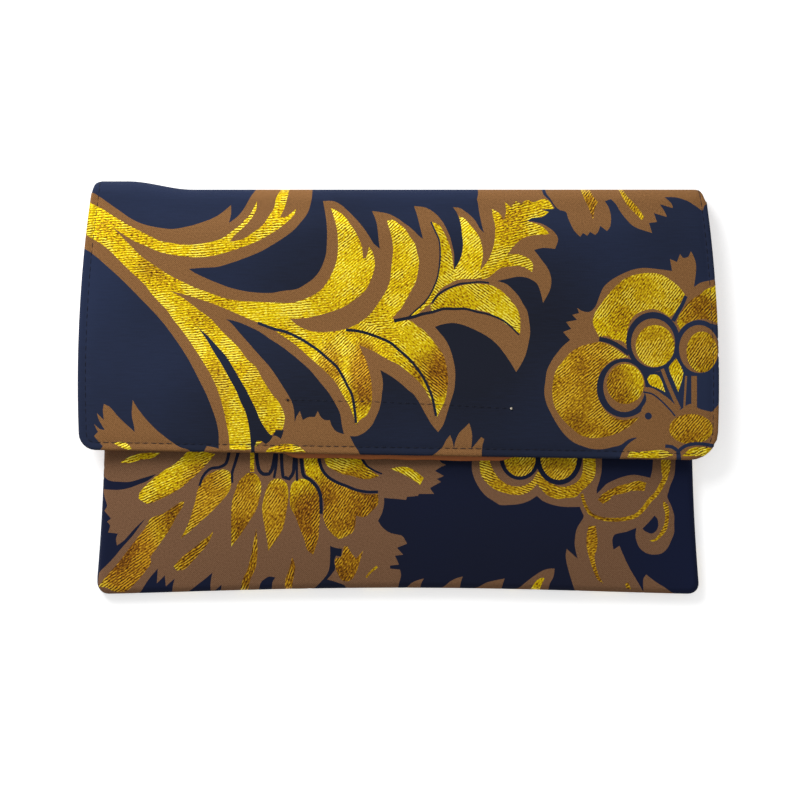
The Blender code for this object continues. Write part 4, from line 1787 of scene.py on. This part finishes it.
class SewnTree:
    """A Geometry Nodes tree that sets one bent thread at each place of a path or a grid."""

    bend_steps: int = 6
    sides: int = 5

    def __init__(self, name: str) -> None:
        """Begins a tree with its named inputs."""
        self.tree = bpy.data.node_groups.new(name, "GeometryNodeTree")
        face = self.tree.interface
        face.new_socket("Geometry", in_out="OUTPUT", socket_type="NodeSocketGeometry")
        face.new_socket("Geometry", in_out="INPUT", socket_type="NodeSocketGeometry")
        for label in ("Pitch", "Length", "Height", "Sink", "Radius", "Wander"):
            face.new_socket(label, in_out="INPUT", socket_type="NodeSocketFloat")
        face.new_socket("Seed", in_out="INPUT", socket_type="NodeSocketInt")
        face.new_socket("Material", in_out="INPUT", socket_type="NodeSocketMaterial")
        self.board = NodeBoard(self.tree)
        self.given = self.board.signals(self.board.add("NodeGroupInput"))

    def thread(self) -> Signal:
        """One length of thread along x that rises out of the cloth and goes back into it."""
        board, given = self.board, self.given
        half, sink = given["Length"] * 0.5, given["Sink"] * -1.0
        peak = board.vector(0.0, 0.0, given["Height"] * 2.0 + given["Sink"])
        start, end = (board.vector(half * side, 0.0, sink) for side in (-1.0, 1.0))
        inputs = {"Resolution": self.bend_steps, "Start": start, "Middle": peak, "End": end}
        line = board.out("GeometryNodeCurveQuadraticBezier", inputs)
        inputs = {"Resolution": self.sides, "Radius": given["Radius"]}
        ring = board.out("GeometryNodeCurvePrimitiveCircle", inputs)
        inputs = {"Curve": line, "Profile Curve": ring, "Fill Caps": True}
        return board.out("GeometryNodeCurveToMesh", inputs)

    def finish(self, points: Signal, heading: Signal) -> bpy.types.NodeTree:
        """Sets the threads at points, each turned a little by chance.

        Args:
            points: The points, which carry the cloth's facing.
            heading: The way each thread runs.

        Returns:
            The whole tree.
        """
        board, wander = self.board, self.given["Wander"]
        facing = board.out(
            "GeometryNodeInputNamedAttribute", {"Name": "facing"}, data_type="FLOAT_VECTOR"
        )
        align = "FunctionNodeAlignRotationToVector"
        upright = board.out(align, {"Vector": facing}, axis="Z")
        inputs = {"Rotation": upright, "Vector": heading}
        along = board.out(align, inputs, axis="X", pivot_axis="Z")
        least = wander * -1.0
        inputs = {"Min": board.vector(0.0, least, least), "Max": board.vector(0.0, wander, wander)}
        inputs["Seed"] = self.given["Seed"]
        turn = board.out("FunctionNodeRandomValue", inputs, data_type="FLOAT_VECTOR")
        inputs = {"Rotation": along, "Rotate By": turn}
        turned = board.out("FunctionNodeRotateRotation", inputs, rotation_space="LOCAL")
        inputs = {"Points": points, "Instance": self.thread(), "Rotation": turned}
        placed = board.out("GeometryNodeInstanceOnPoints", inputs)
        real = board.out("GeometryNodeRealizeInstances", {"Geometry": placed})
        smooth = board.out("GeometryNodeSetShadeSmooth", {"Geometry": real})
        inputs = {"Geometry": smooth, "Material": self.given["Material"]}
        board.add("NodeGroupOutput", {0: board.out("GeometryNodeSetMaterial", inputs)})
        return self.tree

    def along_path(self) -> bpy.types.NodeTree:
        """A row of stitches, one in every pitch of the path."""
        line = self.board.out("GeometryNodeMeshToCurve", {0: self.given["Geometry"]})
        inputs = {"Curve": line, "Length": self.given["Pitch"]}
        node = self.board.add("GeometryNodeCurveToPoints", inputs, mode="LENGTH")
        found = self.board.signals(node)
        return self.finish(found["Points"], found["Tangent"])

    def over_grid(self) -> bpy.types.NodeTree:
        """A loop or hook at each corner of the grid."""
        points = self.board.out("GeometryNodeMeshToPoints", {0: self.given["Geometry"]})
        return self.finish(points, self.board.vector(1.0, 0.0, 0.0))


@dataclass(frozen=True)
class Sewing:
    """The measures of a row of stitches, or of a tape's loops, which have no pitch."""

    length: float
    height: float
    sink: float
    radius: float
    wander: float
    seed: int
    pitch: float = 0.0

    def sew(
        self, name: str, points: Array, facing: Array, material: Material, path: bool
    ) -> Piece:
        """Runs the nodes over points and keeps the mesh that comes out.

        Args:
            name: The piece's name.
            points: One row of x, y and z for each point.
            facing: The way the cloth looks at each point.
            material: The threads' finish.
            path: Whether the points are a path, and not the places of single threads.

        Returns:
            The threads as a plain mesh.
        """
        edges = [(index, index + 1) for index in range(len(points) - 1)] if path else []
        guide = bpy.data.meshes.new(f"{name}_guide")
        guide.from_pydata([Vector(point) for point in points], edges, [])
        looks = guide.attributes.new("facing", "FLOAT_VECTOR", "POINT")
        looks.data.foreach_set("vector", facing.astype(np.float32).ravel())
        holder = bpy.data.objects.new(f"{name}_guide", guide)
        bpy.context.scene.collection.objects.link(holder)
        sewn = SewnTree(f"{name}_nodes")
        tree = sewn.along_path() if path else sewn.over_grid()
        modifier = holder.modifiers.new("sewing", "NODES")
        modifier.node_group = tree
        given = {"Pitch": self.pitch, "Length": self.length, "Height": self.height}
        given |= {"Sink": self.sink, "Radius": self.radius, "Wander": self.wander}
        given |= {"Seed": self.seed, "Material": material}
        for item in tree.interface.items_tree:
            if item.in_out == "INPUT" and item.name in given:
                modifier[item.identifier] = given[item.name]
        seen = holder.evaluated_get(bpy.context.evaluated_depsgraph_get())
        mesh = bpy.data.meshes.new_from_object(seen)
        mesh.name = name
        piece = bpy.data.objects.new(name, mesh)
        bpy.context.scene.collection.objects.link(piece)
        holder.modifiers.remove(modifier)
        bpy.data.objects.remove(holder)
        bpy.data.meshes.remove(guide)
        return piece


TOPSTITCH = Sewing(0.0033, 0.00012, 0.00022, 0.00015, wander=0.05, seed=11, pitch=0.0037)
TAPE_STITCH = Sewing(0.0030, 0.00010, 0.00022, 0.00013, wander=0.05, seed=23, pitch=0.0034)
LOOPS = Sewing(0.0009, 0.0008, 0.0001, 0.00006, wander=0.5, seed=31)
HOOKS = Sewing(0.0006, 0.0009, 0.0001, 0.00008, wander=0.15, seed=47)


@dataclass(frozen=True)
class Knot:
    """A small tied lump of thread."""

    radius: float = 0.00055
    rings: int = 7
    sides: int = 10
    cap_angle: float = 0.15
    lumps: float = 0.22
    lumps_round: int = 3
    lumps_slant: int = 4
    flatness: float = 0.7
    rise: float = 0.45

    def build(self, name: str, place: Array, material: Material) -> Piece:
        """The knot, resting on the cloth at a place."""
        polar = np.linspace(self.cap_angle, math.pi - self.cap_angle, self.rings)
        turn = np.linspace(0, math.tau, self.sides, endpoint=False)
        polar, turn = (part.ravel() for part in np.meshgrid(polar, turn, indexing="ij"))
        lump = np.sin(self.lumps_round * turn + self.lumps_slant * polar)
        radius = self.radius * (1 + self.lumps * lump)
        height = np.cos(polar) * self.flatness + self.rise
        parts = [np.sin(polar) * np.cos(turn), np.sin(polar) * np.sin(turn), height]
        faces = []
        for low in range(0, (self.rings - 1) * self.sides, self.sides):
            for side in range(self.sides):
                first, second = low + side, low + (side + 1) % self.sides
                faces.append((first, first + self.sides, second + self.sides, second))
        last = (self.rings - 1) * self.sides
        faces += [tuple(range(self.sides)), tuple(reversed(range(last, last + self.sides)))]
        piece = mesh_object(name, place + np.stack(parts, axis=1) * radius[:, None], faces)
        piece.data.materials.append(material)
        return piece


@dataclass(frozen=True)
class Stitching:
    """The rows of thread that show on the flap; the short row's places are pixels."""

    cloth: BackAndFlapCloth
    frame: PhotoFrame = PhotoFrame()
    left_inset: float = 0.0037
    right_inset: float = 0.0027
    inset_change_start: float = 0.085
    inset_change_end: float = 0.148
    below_crest: float = 0.002
    short_row: tuple[tuple[float, float], ...] = (
        (288, 400),
        (336, 401),
        (382, 402),
        (424, 404),
        (449, 405),
        (511, 408.6),
    )
    short_row_points: int = 60

    def border_path(self) -> Array:
        """The flat path of the topstitching, from the fold's left end round the hem to its right."""
        ring = self.cloth.ring(self.left_inset)
        on_flap = ring[:, 1] < self.cloth.crest(ring[:, 0]) - self.below_crest
        last_back = int(np.nonzero(~on_flap)[0][-1])
        ring, on_flap = np.roll(ring, -last_back - 1, axis=0), np.roll(on_flap, -last_back - 1)
        path = ring[on_flap]
        distance, way_x, way_v = self.cloth.inwards(path[:, 0], path[:, 1])
        change_length = self.inset_change_end - self.inset_change_start
        change = ease((path[:, 0] - self.inset_change_start) / change_length)
        shift = mix(self.left_inset, self.right_inset, change) - distance
        return path + np.stack([way_x * shift, way_v * shift], axis=1)

    def build(self, dark: Material, pale: Material) -> list[Piece]:
        """Sews the border row, and the short row with a knot at each end."""
        path = self.border_path()
        points, facing = self.cloth.surface(path[:, 0], path[:, 1])
        border = TOPSTITCH.sew("topstitching", points, facing, dark, path=True)
        x, y = self.frame.plan(np.array(self.short_row))
        many = np.linspace(x[0], x[-1], self.short_row_points)
        points, facing = self.cloth.surface(many, np.interp(many, x, y))
        short = TAPE_STITCH.sew("closure_stitching", points, facing, dark, path=True)
        ends = (("dark_knot", points[0], dark), ("pale_knot", points[-1], pale))
        return [border, short, *(Knot().build(*end) for end in ends)]


@dataclass(frozen=True)
class Tape:
    """One half of the closure: a woven base with loops or hooks that reach for the other half."""

    name: str
    tufts: str
    sewing: Sewing
    under_flap: bool
    base_thickness: float = 0.00045
    air: float = 0.0003
    columns: int = 64
    rows: int = 12
    edge: float = 0.0012

    def outer_face(self, form: BagForm, across: Array, share: Array) -> Array:
        """Points of the base's face that looks at the other half.

        Args:
            form: The bag.
            across: From -1 to 1 over the tape's length.
            share: From 0 to 1 over its width.

        Returns:
            One row of x, y and z for each place.
        """
        depth = self.air + self.base_thickness
        x = across * form.tape_length / 2
        y = form.hem_line(x) + form.tape_above_hem + share * form.tape_width
        if self.under_flap:
            z = form.flap_height(x, y) - form.wall - depth
        else:
            z = form.front_height(x, y) + depth
        return np.stack([x, y, z], axis=1)

    def build(self, form: BagForm, base: Material, thread: Material) -> list[Piece]:
        """The base, and the loops or hooks on it, every other row half a place to one side."""
        place = partial(self.outer_face, form)
        shape = (self.columns, self.rows)
        sheet = laid_grid(
            f"{self.name}_base", shape, place, self.base_thickness, not self.under_flap
        )
        sheet.data.materials.append(base)
        reach = 1 - 2 * self.edge / form.tape_length
        border = self.edge / form.tape_width
        columns = np.linspace(-reach, reach, self.columns)
        across, share = np.meshgrid(columns, np.linspace(border, 1 - border, self.rows))
        odd = np.arange(self.rows) % 2 == 1
        across = across - np.where(odd, 0.5 * reach / self.columns, 0.0)[:, None]
        points = place(across.ravel(), share.ravel())
        facing = np.tile(np.array([0.0, 0.0, -1.0 if self.under_flap else 1.0]), (len(points), 1))
        tufts = self.sewing.sew(f"{self.name}_{self.tufts}", points, facing, thread, path=False)
        return [sheet, tufts]


@dataclass(frozen=True)
class Studio:
    """The floor, the light and the camera that looks straight down on the bag."""

    frame: PhotoFrame = PhotoFrame()
    photo_pixels: int = 800
    centre: tuple[float, float] = (0.00077, -0.00577)
    subject_height: float = 0.013
    camera_distance: float = 1.8
    camera_reach: float = 20.0
    floor_size: float = 6.0
    floor_drop: float = 0.0002
    floor_glow: float = 0.5
    room_strength: float = 0.45
    lamp_place: tuple[float, float, float] = (-0.36, 0.56, 0.46)
    lamp_size: float = 0.5
    lamp_power: float = 6.6

    def build(self) -> None:
        """The whole studio."""
        self.build_floor()
        self.build_light()
        self.build_camera()
        bpy.context.scene.view_settings.view_transform = "Standard"

    def build_camera(self) -> None:
        """Places the camera above the bag, its frame the photograph's."""
        data = bpy.data.cameras.new("camera")
        camera = bpy.data.objects.new("camera", data)
        bpy.context.scene.collection.objects.link(camera)
        camera.location = (*self.centre, self.subject_height + self.camera_distance)
        width = self.frame.metres_per_pixel * self.photo_pixels
        data.lens = data.sensor_width * self.camera_distance / width
        data.clip_end = self.camera_reach
        bpy.context.scene.camera = camera

    def build_floor(self) -> None:
        """A pale floor that shows white to the camera and keeps the bag's shadow."""
        half = self.floor_size / 2
        corners = np.array([(-half, -half), (half, -half), (half, half), (-half, half)])
        points = np.column_stack([corners, np.full(4, -self.floor_drop)])
        floor = mesh_object("floor", points, [(0, 1, 2, 3)])
        material, board, shader = Finish("pale_floor", (243, 243, 243), roughness=0.9).start()
        light_path = board.signals(board.add("ShaderNodeLightPath"))
        seen = light_path["Is Camera Ray"] + light_path["Is Glossy Ray"]
        board.feed(shader, "Emission Color", (1.0, 1.0, 1.0, 1.0))
        board.feed(shader, "Emission Strength", seen * self.floor_glow)
        floor.data.materials.append(material)

    def build_light(self) -> None:
        """A bright even room and one soft lamp near the bag's upper left."""
        world = bpy.data.worlds.new("studio")
        world.use_nodes = True
        background = world.node_tree.nodes["Background"]
        background.inputs["Color"].default_value = (1.0, 1.0, 1.0, 1.0)
        background.inputs["Strength"].default_value = self.room_strength
        bpy.context.scene.world = world
        data = bpy.data.lights.new("soft_lamp", "AREA")
        data.shape = "SQUARE"
        data.size = self.lamp_size
        data.energy = self.lamp_power
        lamp = bpy.data.objects.new("soft_lamp", data)
        lamp.location = self.lamp_place
        lamp.rotation_euler = (-lamp.location).to_track_quat("-Z", "Y").to_euler()
        bpy.context.scene.collection.objects.link(lamp)


def declare(piece: Piece, node: str | None) -> None:
    """Fixes a piece to the bag.

    Args:
        piece: The piece.
        node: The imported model's node that it stands for, or None.
    """
    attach(piece, BODY)
    if node:
        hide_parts(node)
    LOG.info("%s: %d faces", piece.name, len(piece.data.polygons))


@dataclass(frozen=True)
class Sheet:
    """A cloth, with its finish, its cut and the piece that it lies on."""

    piece: Piece
    finish: Material
    slot: str
    node: str
    rests_on: Piece
    flat: tuple[float, float]
    area: float | None = None
    held: str = "laid"

    def declare(self) -> None:
        """Gives the cloth its finish and fixes it to the bag."""
        self.piece.data.materials.append(self.finish)
        declare(self.piece, self.node)


LINING_ALLOWANCE = 0.0005


def build_cloths(form: BagForm, cloth: BackAndFlapCloth) -> None:
    """Builds the brocade, the lining and the interlinings.

    Args:
        form: The bag.
        cloth: The back and flap's cut.
    """
    front_cloth = FrontCloth(form, Figure(read_drawing(FRONT_DRAWING)))
    layers = InnerLayers(form, cloth)
    flap, front = cloth.build("brocade_back_and_flap"), front_cloth.build("brocade_front")
    lining, front_lining = layers.build_flap_lining(), layers.build_front_lining()
    back_panel, front_panel, flap_panel = layers.build_interlinings()
    satin, felt = LINING_SATIN.build(), INTERLINING.build()
    cut, front_cut = (part.cut_size(part.edge_distances()[0]) for part in (cloth, front_cloth))
    whole, front_whole = (part.cut_size(-LINING_ALLOWANCE) for part in (cloth, front_cloth))
    back_flat = (form.fold_width, form.body_height)
    front_flat = (form.fold_width, form.mouth_y - form.foot_y)
    flap_flat = (form.flap_width, form.flap_drop)
    # The front panel's brocade is the flap's, darkened by painted shade.
    front_brocade_painted_shade, blue = FRONT_BROCADE_PAINTED_SHADE.build(), FLAP_BROCADE.build()
    satin_slot, panel_slot = "lining_satin", "interlining"
    for sheet in (
        Sheet(front, front_brocade_painted_shade, "brocade", "front_cloth", front_panel, *front_cut),
        Sheet(flap, blue, "brocade", "back_and_flap_cloth", front, *cut, held="folded"),
        Sheet(lining, satin, satin_slot, "back_and_flap_lining", back_panel, *whole, held="folded"),
        Sheet(front_lining, satin, satin_slot, "front_lining", lining, *front_whole),
        Sheet(back_panel, felt, panel_slot, "back_interlining", flap, back_flat),
        Sheet(front_panel, felt, panel_slot, "front_interlining", front_lining, front_flat),
        Sheet(flap_panel, felt, panel_slot, "flap_interlining", lining, flap_flat),
    ):
        sheet.declare()


def build_tapes(form: BagForm) -> None:
    """Builds both halves of the closure under the flap."""
    base, thread = TAPE.build(), TAPE_THREAD.build()
    for tape, rest in (
        (Tape("loop_tape", "loops", LOOPS, under_flap=False), "brocade_front"),
        (Tape("hook_tape", "hooks", HOOKS, under_flap=True), "lining_back_and_flap"),
    ):
        sheet, tufts = tape.build(form, base, thread)
        declare(sheet, tape.name)
        declare(tufts, tape.name)


def main() -> None:
    """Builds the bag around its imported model, then the studio."""
    logging.basicConfig(level=logging.INFO, format="%(message)s")
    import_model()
    form = BagForm()
    cloth = BackAndFlapCloth(form, Figure(read_drawing(FLAP_DRAWING)))
    build_cloths(form, cloth)
    for piece in Stitching(cloth).build(DARK_THREAD.build(), PALE_THREAD.build()):
        declare(piece, None)
    build_tapes(form)
    Studio().build()


if __name__ == "__main__":
    main()
